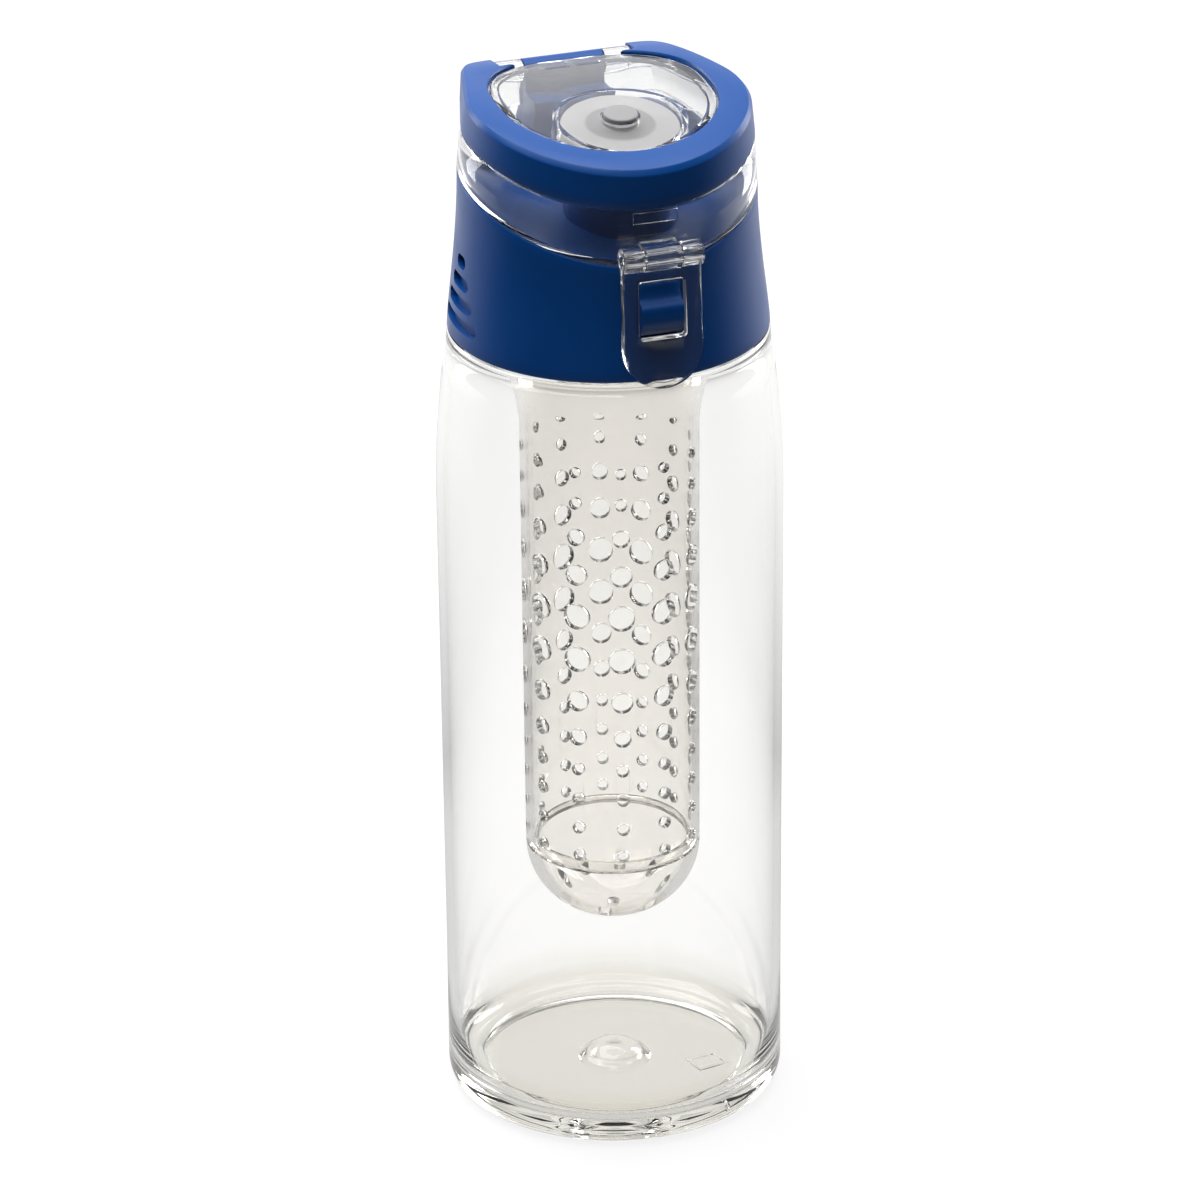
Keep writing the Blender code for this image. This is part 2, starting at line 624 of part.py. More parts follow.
def make_lid_shell(parts, cutters, finish):
    lid = lofted("lid_shell", lid_shell_rings(), parts, finish)
    boolean(lid, lid_hollow(cutters), "DIFFERENCE")

    # ring that locates the stopper
    inner = HOLDER_R - 1.2
    profile = [(inner, 1.4), (HOLDER_R, 1.4), (HOLDER_R, -3.4), (inner, -3.4)]
    holder = as_cutter(turned("stopper_holder", profile, cutters, steps=36, closed=True))
    holder.matrix_world = stopper_place()
    boolean(lid, holder, "UNION")
    knob_hole = as_cutter(rod("knob_hole", KNOB_HOLE_R, 2.0, (0.0, 0.0, 2.2), UPRIGHT, cutters))
    knob_hole.matrix_world = stopper_place()
    boolean(lid, knob_hole, "DIFFERENCE")

    # knuckles along the hinge, with room between them for the collar's hinge tower
    knuckles = rod("lid_knuckles", BARREL_R, KNUCKLE_END, (0.0, HINGE_Y, HINGE_Z), ALONG_X, cutters)
    boolean(lid, as_cutter(knuckles), "UNION")
    room_half = BARREL_HALF + 0.4
    room = box("hinge_room", (-room_half, HINGE_Y - 3.4, 205.0), (room_half, 36.0, 230.0), cutters)
    boolean(lid, as_cutter(room), "DIFFERENCE")

    # lug for the clasp at the front
    nose = arc_points((-CLASP_PIN_Y, CLASP_PIN_Z), CLASP_BARREL_R, -90, 90, 10)
    lug_view = [(30.2, CLASP_PIN_Z - 1.9)] + nose + [(30.2, CLASP_PIN_Z + CLASP_BARREL_R)]
    boolean(lid, side_block("clasp_lug", lug_view, CLASP_LUG_HALF, cutters), "UNION")

    knuckle_bore = rod("knuckle_bore", HINGE_PIN_R + GAP, KNUCKLE_END + 1, (0.0, HINGE_Y, HINGE_Z), ALONG_X,
                       cutters, sides=16)
    boolean(lid, as_cutter(knuckle_bore), "DIFFERENCE")
    lug_bore = rod("lug_bore", CLASP_PIN_R + GAP, CLASP_HALF, (0.0, CLASP_PIN_Y, CLASP_PIN_Z), ALONG_X,
                   cutters, sides=14)
    boolean(lid, as_cutter(lug_bore), "DIFFERENCE")

    # pocket in the skirt that the trim ring's front tab snaps into
    tab = box("tab_pocket", (-4.8, -34.0, 209.6), (4.8, -30.3, 212.0), cutters)
    boolean(lid, as_cutter(tab), "DIFFERENCE")
    smooth(lid)
    return lid


def make_lid_trim(parts, cutters, finish):
    edge = 1.1
    rings = [outline_ring(trim_radius, TRIM_ARC, inset=TRIM_THICKNESS),
             outline_ring(trim_radius, TRIM_ARC),
             outline_ring(top_radius, TOP_ARC, drop=edge),
             outline_ring(top_radius, TOP_ARC, inset=edge * 0.9),
             outline_ring(window_radius, TOP_ARC, inset=-0.3),
             outline_ring(window_radius, TOP_ARC, drop=0.35),
             outline_ring(window_radius, TOP_ARC, drop=TRIM_THICKNESS),
             outline_ring(top_radius, TOP_ARC, drop=TRIM_THICKNESS, inset=TRIM_THICKNESS)]
    mesh_data = bmesh.new()
    layers = []
    for ring in rings:
        layers.append([mesh_data.verts.new([value * MM for value in point]) for point in ring])
    for lower, upper in zip(layers, layers[1:] + layers[:1]):
        for index in range(len(lower)):
            after = (index + 1) % len(lower)
            mesh_data.faces.new((lower[index], lower[after], upper[after], upper[index]))
    trim = add_object("lid_trim", finish_mesh(mesh_data, "lid_trim"), parts, finish)
    room_half = KNUCKLE_END + GAP
    room = box("trim_gap", (-room_half, HINGE_Y - 4.2, 205.0), (room_half, 36.0, 230.0), cutters)
    boolean(trim, as_cutter(room), "DIFFERENCE")
    smooth(trim)
    return trim


def make_stopper(parts, finish):
    profile = [(0.0, KNOB_HEIGHT), (KNOB_R - 0.4, KNOB_HEIGHT), (KNOB_R, KNOB_HEIGHT - 0.4), (KNOB_R, 0.6),
               (KNOB_R + 0.6, 0.0),
               (STOPPER_R - 0.3, 0.0), (STOPPER_R, -0.3), (STOPPER_R, -1.3), (STOPPER_R - 0.3, -1.6),
               (PLUG_R, -1.6), (PLUG_R - 0.6, -5.2), (PLUG_R - 1.8, -5.2), (PLUG_R - 1.4, -2.0), (0.0, -2.0)]
    stopper = turned("stopper", profile, parts, finish, steps=36)
    stopper.matrix_world = stopper_place()
    return stopper


# ---------------------------------------------------------------- clasp and pins

def clasp_plate(cutters):
    """The leaning plate: straight sides, a round lower end and a rectangular window."""
    length = CLASP_PIN_Z - CLASP_TIP_Z
    bottom = arc_points((0.0, -length + CLASP_HALF), CLASP_HALF, 180, 360, 14)
    outline = bottom + [(CLASP_HALF, 0.0), (-CLASP_HALF, 0.0)]
    return prism("clasp_plate", outline, CLASP_THICKNESS, cutters)


def clasp_plate_place():
    """Stands the plate up against the collar, leaning back with it."""
    drop = CLASP_PIN_Z - COLLAR_BOTTOM_Z
    middle_y = CLASP_INNER_Y - CLASP_THICKNESS / 2 + drop * math.tan(CLASP_LEAN)
    spot = Matrix.Translation((0.0, middle_y * MM, CLASP_PIN_Z * MM))
    return spot @ Matrix.Rotation(math.pi / 2 - CLASP_LEAN, 4, "X")


def make_clasp(parts, cutters, finish):
    # the origin is on the clasp's pin
    origin = Vector((0.0, CLASP_PIN_Y * MM, CLASP_PIN_Z * MM))
    mesh = clasp_plate(cutters)
    mesh.transform(Matrix.Translation(-origin) @ clasp_plate_place())
    clasp = add_object("clasp", mesh, parts, finish)
    clasp.location = origin
    round_over = clasp.modifiers.new("edges", "BEVEL")
    round_over.width = 0.0004
    round_over.segments = 2
    round_over.limit_method = "ANGLE"
    round_over.angle_limit = math.radians(50)

    pin_spot = (0.0, CLASP_PIN_Y, CLASP_PIN_Z)
    barrel = rod("clasp_barrel", CLASP_BARREL_R, CLASP_HALF - 0.05, pin_spot, ALONG_X, cutters)
    boolean(clasp, as_cutter(barrel), "UNION")
    notch = rod("clasp_notch", CLASP_BARREL_R + GAP, CLASP_LUG_HALF + GAP, pin_spot, ALONG_X, cutters)
    boolean(clasp, as_cutter(notch), "DIFFERENCE")

    window = box("clasp_window", (-WINDOW_HALF, -40.0, WINDOW_LOW_Z), (WINDOW_HALF, -30.0, WINDOW_HIGH_Z),
                 cutters)
    corner = window.modifiers.new("corners", "BEVEL")
    corner.width = 0.0008
    corner.segments = 2
    boolean(clasp, as_cutter(window), "DIFFERENCE")
    bore = rod("clasp_bore", CLASP_PIN_R + GAP, CLASP_HALF + 1, pin_spot, ALONG_X, cutters, sides=12)
    boolean(clasp, as_cutter(bore), "DIFFERENCE")
    smooth(clasp)
    return clasp


def make_pin(name, radius, half_length, spot, parts, finish):
    pin = rod(name, radius, half_length, (0.0, 0.0, 0.0), ALONG_X, parts, finish, sides=16)
    pin.location = [value * MM for value in spot]
    smooth(pin)
    return pin


# ---------------------------------------------------------------- assembly

def build():
    clear_scene()
    parts = collection(OBJECT_NAME)
    cutters = collection("cutters")
    clear = plastic("clear_copolyester", (0.93, 0.93, 0.91), 0.06, transmission=0.9)
    blue = plastic("blue_polypropylene", (0.02, 0.09, 0.42), 0.38)
    silicone = plastic("white_silicone", (0.82, 0.82, 0.80), 0.5)
    steel = plastic("pin_steel", (0.62, 0.63, 0.64), 0.3, metallic=1.0)

    make_bottle(parts, cutters, clear)
    flat_ring("neck_gasket", 26.3, 29.4, NECK_TOP_Z + GAP, CEILING_Z - GAP, parts, silicone)
    make_collar(parts, cutters, blue)
    flat_ring("infuser_gasket", 17.9, 20.1, TUBE_TOP_Z + GAP, CEILING_Z - GAP, parts, silicone)
    make_infuser_tube(parts, cutters, clear)
    make_end_cap(parts, cutters, clear)
    make_lid_shell(parts, cutters, clear)
    make_lid_trim(parts, cutters, blue)
    make_stopper(parts, silicone)
    make_pin("hinge_pin", HINGE_PIN_R, KNUCKLE_END - 0.2, (0.0, HINGE_Y, HINGE_Z), parts, steel)
    make_clasp(parts, cutters, clear)
    make_pin("clasp_pin", CLASP_PIN_R, CLASP_HALF - 0.4, (0.0, CLASP_PIN_Y, CLASP_PIN_Z), parts, clear)


build()
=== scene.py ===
"""Looks for the fruit infuser sports bottle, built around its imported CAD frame.

Lengths are in millimetres and are scaled to metres where a mesh is made. The frame is the CAD's:
+Z up from the foot, the clasp at the front (-Y) and the lid's hinge at the back (+Y).
"""
import math

import bmesh
import bpy
from mathutils import Matrix, Vector


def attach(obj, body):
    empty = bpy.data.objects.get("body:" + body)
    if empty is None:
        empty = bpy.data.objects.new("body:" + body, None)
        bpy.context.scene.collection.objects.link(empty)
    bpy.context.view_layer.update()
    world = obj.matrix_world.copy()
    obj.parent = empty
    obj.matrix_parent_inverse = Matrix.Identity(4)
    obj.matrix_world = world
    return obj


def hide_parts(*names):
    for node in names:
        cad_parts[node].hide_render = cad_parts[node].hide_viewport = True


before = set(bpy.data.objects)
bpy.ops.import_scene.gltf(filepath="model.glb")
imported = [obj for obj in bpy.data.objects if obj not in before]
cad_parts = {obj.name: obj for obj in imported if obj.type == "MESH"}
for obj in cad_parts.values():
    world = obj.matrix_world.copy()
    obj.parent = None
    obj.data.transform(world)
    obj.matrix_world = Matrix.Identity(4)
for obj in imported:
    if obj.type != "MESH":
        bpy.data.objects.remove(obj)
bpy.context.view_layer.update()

MM = 0.001
GAP = 0.3                    # clearance between pieces
ROUND = 144                  # sides of a large turned piece
OUTLINE = 176                # points round the lid's outlines
SHARP = math.radians(32)
FLOOR_GLOW = 0.68            # what the paper adds to the light it throws back

# bottle
WALL = 1.8
NECK_R = 29.0
NECK_ROWS = 33
NECK_TOP_Z = 192.0
NECK_STEP = 0.33
THREAD_START_Z = 182.5
THREAD_PITCH = 4.5
THREAD_TURNS = 1.5
THREAD_DEPTH = 0.9
THREAD_RUNOUT = 0.06         # share of the thread's length over which each end fades

# collar
COLLAR_BASE_R = 33.6
COLLAR_BASE_Z = 176.1
COLLAR_LOWER_EDGE = 0.5
COLLAR_LEVELS = 14
COLLAR_CEILING_Z = 198.2
GRIP_FIRST_Z = 180.9
GRIP_SPACING = 4.27
GRIP_HALF_WIDTHS = (9.3, 7.0, 4.6, 2.4)
GRIP_HALF_HEIGHT = 1.4
GRIP_DEPTH = 1.05
GRIP_STEPS = 16
CATCH_HALF = 4.5

# the lid's arched edges: height at the front, slope and curvature going back
FRONT_Y = -31.0
SEAM_ARC = (200.0, 0.4516, 0.00416)
TRIM_ARC = (212.6, 0.3387, 0.00375)
TOP_ARC = (220.8, 0.3, 0.0038)
LID_TOP_R = 29.5
LID_TOP_CENTRE = -1.3
COLLAR_TOP_R = 31.0
LID_CORNER = (21.5, 32.2)
SKIRT_LIFT = 1.5             # most that the skirt's edge rises at the back
WINDOW_R = 22.8
WINDOW_CENTRE = -0.6
WINDOW_BACK = 28.0
WINDOW_BULGE = 0.3
TRIM_THICKNESS = 1.6
PLATE_DROP = 0.7
PLATE_THICKNESS = 1.6
SKIRT_WALL = 2.0

HINGE_Y = 29.2
HINGE_Z = 221.9
HINGE = (0.0, HINGE_Y, HINGE_Z)
BARREL_R = 2.9
BARREL_HALF = 8.6
KNUCKLE_END = 14.6
HINGE_PIN_R = 1.2

SPOUT_Y = -8.5
SPOUT_TOP_Z = 220.0
SPOUT_R = 11.0
SPOUT_BORE_R = 9.1
POCKET_R = 18.4
POCKET_DEPTH = 4.2
RIM_STEPS = 96
STOPPER_Z = 222.1
KNOB_HOLE_R = 4.1

CLASP_PIN_Y = -33.9
CLASP_PIN_Z = 203.4
CLASP_AXIS = (0.0, CLASP_PIN_Y, CLASP_PIN_Z)
CLASP_HALF = 8.5
CLASP_TIP_Z = 175.2
CLASP_LEAN = math.radians(3.6)
CLASP_LUG_HALF = 3.8
CLASP_BARREL_R = 2.6
CLASP_PLATE = 2.0
CLASP_FOOT_Y = -35.1         # middle of the plate level with the collar's foot
CLASP_BORE_R = 1.1
CLASP_PIN_R = 0.8
RELIEF_ARC_R = 5.5
RELIEF_ARC_OFFSET = 4.84

SEAM_Z = 57.1                # joint between the infuser's tube and its domed end
DOME_R = 18.6
DRAIN_R = 1.4
DRAIN_CIRCLE_R = 11.5
HOLE_COLUMNS = 12
HOLE_MIDDLE_R = 18.2         # middle of the perforated wall
HOLE_PHASE = math.radians(18.5)
HOLE_ROWS = ((149.4, 2.2), (142.4, 2.5), (134.7, 3.6), (126.1, 4.5), (116.5, 5.5), (106.7, 5.5),
             (97.0, 4.5), (88.6, 3.6), (81.1, 2.6), (74.2, 2.6), (67.3, 2.6), (60.9, 2.4))

WHITE = (1.0, 1.0, 1.0, 1.0)
LAMP_LOSS = (0.93, 0.93, 0.93, 1.0)   # what a clear wall lets through from a lamp
CLEAR_IOR = 1.54
CLEAR_BOUNCES = 28                    # enough for a ray to cross every clear wall
BACKWARD = (0.32, 0.95, 0.0)          # away from the viewer's side

ALONG_X = Matrix.Rotation(math.pi / 2, 3, "Y")
ALONG_Y = Matrix.Rotation(math.pi / 2, 3, "X")
UPRIGHT = Matrix.Identity(3)


# ---------------------------------------------------------------- materials

class Nodes:
    """A small helper round one material's node tree."""

    def __init__(self, name):
        self.material = bpy.data.materials.new(name)
        self.material.use_nodes = True
        self.tree = self.material.node_tree
        self.shader = self.tree.nodes["Principled BSDF"]
        self.output = self.tree.nodes["Material Output"]
        self.place = self.tree.nodes.new("ShaderNodeTexCoord").outputs["Object"]

    def node(self, kind, **values):
        item = self.tree.nodes.new(kind)
        for key, value in values.items():
            setattr(item, key, value)
        return item

    def link(self, source, target):
        self.tree.links.new(source, target)

    def noise(self, scale, detail=3.0, stretch=(1.0, 1.0, 1.0)):
        mapping = self.node("ShaderNodeMapping")
        mapping.inputs["Scale"].default_value = stretch
        self.link(self.place, mapping.inputs["Vector"])
        texture = self.node("ShaderNodeTexNoise")
        texture.inputs["Scale"].default_value = scale
        texture.inputs["Detail"].default_value = detail
        self.link(mapping.outputs["Vector"], texture.inputs["Vector"])
        return texture.outputs["Fac"]

    def remap(self, source, low, high, new_low, new_high):
        item = self.node("ShaderNodeMapRange")
        self.link(source, item.inputs["Value"])
        for key, value in zip(("From Min", "From Max", "To Min", "To Max"), (low, high, new_low, new_high)):
            item.inputs[key].default_value = value
        return item.outputs["Result"]

    def mix(self, factor, first, second):
        item = self.node("ShaderNodeMix", data_type="RGBA")
        self.link(factor, item.inputs["Factor"])
        for socket, colour in ((item.inputs["A"], first), (item.inputs["B"], second)):
            if isinstance(colour, tuple):
                socket.default_value = (*colour, 1.0)
            else:
                self.link(colour, socket)
        return item.outputs["Result"]

    def bump(self, height, strength, distance, normal=None):
        item = self.node("ShaderNodeBump")
        item.inputs["Strength"].default_value = strength
        item.inputs["Distance"].default_value = distance
        self.link(height, item.inputs["Height"])
        if normal:
            self.link(normal, item.inputs["Normal"])
        return item.outputs["Normal"]

    def height(self):
        """The point's height above the foot, in metres."""
        split = self.node("ShaderNodeSeparateXYZ")
        self.link(self.place, split.inputs["Vector"])
        return split.outputs["Z"]


def clear_plastic(name, tint, haze, ripple=0.05, heavy_tint=None, heavy_below=0.0):
    """Clear moulded plastic, with fine handling scuffs and a faint waviness from the mould.

    The thick base can have a heavier tint, which fades in below a height in metres.
    """
    mat = Nodes(name)
    mat.shader.inputs["Transmission Weight"].default_value = 1.0
    mat.shader.inputs["IOR"].default_value = CLEAR_IOR
    colour = mat.mix(mat.remap(mat.noise(60.0), 0.3, 0.7, 0.0, 1.0), tint,
                     tuple(value * 0.992 for value in tint))
    if heavy_tint:
        depth = mat.remap(mat.height(), heavy_below, heavy_below * 0.35, 0.0, 1.0)
        colour = mat.mix(depth, colour, heavy_tint)
    mat.link(colour, mat.shader.inputs["Base Color"])
    scuffs = mat.noise(420.0, 5.0, (1.0, 1.0, 0.12))
    rough = mat.remap(scuffs, 0.5, 0.78, haze, haze + 0.06)
    mat.link(rough, mat.shader.inputs["Roughness"])
    wave = mat.noise(26.0, 1.0, (1.0, 1.0, 0.35))
    mat.link(mat.bump(wave, ripple, 0.0003), mat.shader.inputs["Normal"])
    # lamps shine through the clear wall with little loss
    clear = mat.node("ShaderNodeBsdfTransparent")
    clear.inputs["Color"].default_value = LAMP_LOSS
    path = mat.node("ShaderNodeLightPath")
    join = mat.node("ShaderNodeMixShader")
    mat.link(path.outputs["Is Shadow Ray"], join.inputs["Fac"])
    mat.link(mat.shader.outputs["BSDF"], join.inputs[1])
    mat.link(clear.outputs["BSDF"], join.inputs[2])
    mat.link(join.outputs["Shader"], mat.output.inputs["Surface"])
    return mat.material


def satin_plastic(name, colour, roughness):
    """Moulded opaque plastic: spark-eroded grain, faint flow colour and slightly polished patches."""
    mat = Nodes(name)
    flow = mat.remap(mat.noise(22.0, 2.0), 0.3, 0.7, 0.0, 1.0)
    paler = tuple(min(1.0, value * 1.12 + 0.002) for value in colour)
    mat.link(mat.mix(flow, colour, paler), mat.shader.inputs["Base Color"])
    wear = mat.noise(75.0, 4.0)
    mat.link(mat.remap(wear, 0.35, 0.7, roughness - 0.04, roughness + 0.06), mat.shader.inputs["Roughness"])
    grain = mat.bump(mat.noise(2600.0, 2.0), 0.10, 0.00006)
    mat.link(mat.bump(mat.noise(30.0, 1.0), 0.05, 0.0003, grain), mat.shader.inputs["Normal"])
    mat.shader.inputs["IOR"].default_value = 1.48
    mat.shader.inputs["Specular IOR Level"].default_value = 0.34
    return mat.material


def silicone_rubber(name):
    """Soft white rubber, cloudy and slightly see-through."""
    mat = Nodes(name)
    cloud = mat.remap(mat.noise(90.0, 3.0), 0.3, 0.7, 0.0, 1.0)
    surface = mat.mix(cloud, (0.80, 0.785, 0.79), (0.86, 0.845, 0.85))
    # painted shade: the stopper's hollow middle, inside its plug, is painted a little darker than the thick
    # rim
    offset = mat.node("ShaderNodeVectorMath", operation="SUBTRACT")
    offset.inputs[1].default_value = (0.0, SPOUT_Y * MM, 0.0)
    mat.link(mat.place, offset.inputs[0])
    flat = mat.node("ShaderNodeVectorMath", operation="MULTIPLY")
    flat.inputs[1].default_value = (1.0, 1.0, 0.0)
    mat.link(offset.outputs["Vector"], flat.inputs[0])
    radius = mat.node("ShaderNodeVectorMath", operation="LENGTH")
    mat.link(flat.outputs["Vector"], radius.inputs[0])
    # painted shade mask: 1 over the stopper's hollow middle, fading to 0 at the plug's wall
    hollow = mat.remap(radius.outputs["Value"], 0.0068, 0.0076, 1.0, 0.0)
    mat.link(mat.mix(hollow, surface, (0.50, 0.49, 0.50)), mat.shader.inputs["Base Color"])
    mat.link(mat.remap(mat.noise(300.0, 3.0), 0.3, 0.7, 0.36, 0.5), mat.shader.inputs["Roughness"])
    mat.shader.inputs["Transmission Weight"].default_value = 0.35
    mat.shader.inputs["IOR"].default_value = 1.41
    mat.shader.inputs["Subsurface Weight"].default_value = 0.35
    mat.shader.inputs["Subsurface Radius"].default_value = (0.004, 0.004, 0.0038)
    mat.link(mat.bump(mat.noise(1500.0, 2.0), 0.08, 0.00005), mat.shader.inputs["Normal"])
    return mat.material


def drawn_steel(name):
    """Bright wire with fine lines along its length."""
    mat = Nodes(name)
    mat.shader.inputs["Metallic"].default_value = 1.0
    lines = mat.noise(1800.0, 2.0, (0.04, 1.0, 1.0))
    mat.link(mat.mix(lines, (0.52, 0.53, 0.54), (0.72, 0.72, 0.72)), mat.shader.inputs["Base Color"])
    mat.link(mat.remap(lines, 0.3, 0.7, 0.24, 0.4), mat.shader.inputs["Roughness"])
    mat.link(mat.bump(lines, 0.15, 0.00004), mat.shader.inputs["Normal"])
    return mat.material


# ---------------------------------------------------------------- mesh helpers

def link_object(name, mesh):
    item = bpy.data.objects.new(name, mesh)
    bpy.context.scene.collection.objects.link(item)
    return item


def finish_mesh(mesh_data, name):
    mesh = bpy.data.meshes.new(name)
    bmesh.ops.recalc_face_normals(mesh_data, faces=mesh_data.faces)
    mesh_data.to_mesh(mesh)
    mesh_data.free()
    return mesh


def skin(layers, closed_across=False):
    """Faces between rows of points that run round a piece; a row of one point is a pole."""
    mesh_data = bmesh.new()
    rows = [[mesh_data.verts.new([value * MM for value in point]) for point in row] for row in layers]
    pairs = list(zip(rows, rows[1:]))
    if closed_across:
        pairs.append((rows[-1], rows[0]))
    for lower, upper in pairs:
        count = max(len(lower), len(upper))
        for index in range(count):
            after = (index + 1) % count
            corners = []
            for row, spot in ((lower, index), (lower, after), (upper, after), (upper, index)):
                vert = row[spot] if len(row) > 1 else row[0]
                if vert not in corners:
                    corners.append(vert)
            mesh_data.faces.new(corners)
    if not closed_across:
        for row in (rows[0], rows[-1]):
            if len(row) > 1:
                middle = sum((vert.co for vert in row), Vector()) / len(row)
                centre = mesh_data.verts.new(middle)
                for index in range(len(row)):
                    mesh_data.faces.new((row[index], row[(index + 1) % len(row)], centre))
    return mesh_data


def ring_or_pole(radius, height, steps=ROUND):
    """One row of points round Z, or a single point on the axis."""
    if radius < 0.001:
        return [(0.0, 0.0, height)]
    angles = [2 * math.pi * index / steps for index in range(steps)]
    return [(radius * math.cos(a), radius * math.sin(a), height) for a in angles]


def lofted(name, rings, closed=False):
    return link_object(name, finish_mesh(skin(rings, closed_across=closed), name))


def turned(name, profile, steps=ROUND, closed=False):
    """Turn a profile of (radius, height) about Z."""
    return lofted(name, [ring_or_pole(radius, height, steps) for radius, height in profile], closed)


def rod_mesh(mesh_data, radius, half_length, centre, rotation, sides):
    place = Matrix.Translation([value * MM for value in centre]) @ rotation.to_4x4()
    bmesh.ops.create_cone(mesh_data, cap_ends=True, segments=sides, radius1=radius * MM,
                          radius2=radius * MM, depth=2 * half_length * MM, matrix=place)


def rod(name, radius, half_length, centre, rotation=ALONG_X, sides=48):
    mesh_data = bmesh.new()
    rod_mesh(mesh_data, radius, half_length, centre, rotation, sides)
    return link_object(name, finish_mesh(mesh_data, name))


def box(name, low, high, bevel=0.0):
    mesh_data = bmesh.new()
    size = [(b - a) * MM for a, b in zip(low, high)]
    middle = [(a + b) / 2 * MM for a, b in zip(low, high)]
    place = Matrix.Translation(middle) @ Matrix.Diagonal((*size, 1.0))
    bmesh.ops.create_cube(mesh_data, size=1.0, matrix=place)
    if bevel:
        bmesh.ops.bevel(mesh_data, geom=mesh_data.edges[:], offset=bevel * MM, segments=4, profile=0.5,
                        affect="EDGES", clamp_overlap=True)
    return link_object(name, finish_mesh(mesh_data, name))


def slab(name, outline, thickness, bevel=0.0, segments=3):
    """A flat outline in XY thickened along Z, with its rims rounded over."""
    mesh_data = bmesh.new()
    low = [mesh_data.verts.new((x * MM, y * MM, -thickness / 2 * MM)) for x, y in outline]
    high = [mesh_data.verts.new((x * MM, y * MM, thickness / 2 * MM)) for x, y in outline]
    mesh_data.faces.new(low)
    mesh_data.faces.new(high)
    for index in range(len(low)):
        after = (index + 1) % len(low)
        mesh_data.faces.new((low[index], low[after], high[after], high[index]))
    if bevel:
        rims = [edge for edge in mesh_data.edges
                if abs(edge.verts[0].co.z - edge.verts[1].co.z) < 1e-7]
        bmesh.ops.bevel(mesh_data, geom=rims, offset=bevel * MM, segments=segments, profile=0.5,
                        affect="EDGES", clamp_overlap=True)
    return finish_mesh(mesh_data, name)


def side_block(name, side_view, half_width, bevel=0.0):
    """A block drawn in side view, as (distance to the front, height), and extruded across X."""
    mesh = slab(name, side_view, 2 * half_width, bevel)
    mesh.transform(Matrix(((0, 0, 1, 0), (-1, 0, 0, 0), (0, 1, 0, 0), (0, 0, 0, 1))))
    return link_object(name, mesh)


def bake_modifiers(item):
    """Replace a piece's mesh by what its modifiers make of it."""
    depsgraph = bpy.context.evaluated_depsgraph_get()
    mesh = bpy.data.meshes.new_from_object(item.evaluated_get(depsgraph))
    item.modifiers.clear()
    item.data = mesh


def combine(target, steps):
    """Join or cut other shapes, one after the other, and leave one plain mesh."""
    for index, (operation, other) in enumerate(steps):
        modifier = target.modifiers.new(f"step{index}", "BOOLEAN")
        modifier.operation = operation
        modifier.solver = "EXACT"
        modifier.object = other
    bake_modifiers(target)
    for _, other in steps:
        bpy.data.objects.remove(other, do_unlink=True)


def soften(item, width, angle):
    """A small round on the hard edges that are left."""
    bevel = item.modifiers.new("soften", "BEVEL")
    bevel.width = width * MM
    bevel.segments = 2
    bevel.limit_method = "ANGLE"
    bevel.angle_limit = math.radians(angle)
    bevel.use_clamp_overlap = True
    bevel.harden_normals = False
    bake_modifiers(item)


def complete(item, material, body, node):
    """Shade a finished piece, give it its material and tie it to the frame."""
    item.data.materials.clear()
    item.data.materials.append(material)
    for face in item.data.polygons:
        face.material_index = 0
    item.data.shade_smooth()
    item.data.set_sharp_from_angle(angle=SHARP)
    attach(item, body)
    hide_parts(node)


def radial_normals(item):
    """True round normals on a turned wall, so that holes cut through it don't ripple its refraction."""
    mesh = item.data
    normals = [Vector()] * len(mesh.loops)
    for face in mesh.polygons:
        outward = Vector((face.center.x, face.center.y, 0.0)).normalized()
        facing = face.normal.dot(outward)
        if abs(facing) < 0.99:
            continue
        for loop in face.loop_indices:
            spot = mesh.vertices[mesh.loops[loop].vertex_index].co
            normals[loop] = Vector((spot.x, spot.y, 0.0)).normalized() * math.copysign(1.0, facing)
    mesh.normals_split_custom_set(normals)


def arc_points(centre, radius, start, end, count):
    angles = [math.radians(start + (end - start) * index / count) for index in range(count + 1)]
    return [(centre[0] + radius * math.cos(a), centre[1] + radius * math.sin(a)) for a in angles]


def smooth_line(points, each=5):
    """More points along a profile, on a Catmull-Rom curve through the given ones."""
    ends = [points[0]] + list(points) + [points[-1]]
    dense = []
    for before, start, end, after in zip(ends, ends[1:], ends[2:], ends[3:]):
        for step in range(each):
            t = step / each
            dense.append(tuple(0.5 * (2 * b + (c - a) * t + (2 * a - 5 * b + 4 * c - d) * t * t
                                      + (3 * b - a - 3 * c + d) * t ** 3)
                               for a, b, c, d in zip(before, start, end, after)))
    dense.append(points[-1])
    return dense


# ---------------------------------------------------------------- the lid's shared outlines

def arc_height(arc, y):
    front, slope, curvature = arc
    back = y - FRONT_Y
    return front + slope * back - curvature * back * back


def polar_angles():
    return [2 * math.pi * (index + 0.5) / OUTLINE for index in range(OUTLINE)]


def soft_minimum(values, power=16.0):
    return sum(value ** -power for value in values) ** (-1.0 / power)


def lid_radius(angle, front_radius, centre_y, corner):
    """Radius of the D outline: a round front, straight sides tangent to it and a flat back."""
    x, y = math.sin(angle), -math.cos(angle)
    dot = y * centre_y
    round_front = dot + math.sqrt(dot * dot - centre_y * centre_y + front_radius * front_radius)
    corner_x, corner_y = corner
    reach = math.hypot(corner_x, corner_y - centre_y)
    tangent = math.atan2(corner_y - centre_y, corner_x) - math.acos(front_radius / reach)
    normal = (math.cos(tangent), math.sin(tangent))
    if math.atan2(round_front * y - centre_y, abs(round_front * x)) < tangent:
        return round_front
    side_distance = front_radius + normal[1] * centre_y
    along_side = side_distance / (abs(x) * normal[0] + y * normal[1])
    if y <= 0.05:
        return along_side
    return min(soft_minimum((along_side, corner_y / y)), along_side)


def top_radius(angle):
    return lid_radius(angle, LID_TOP_R, LID_TOP_CENTRE, LID_CORNER)


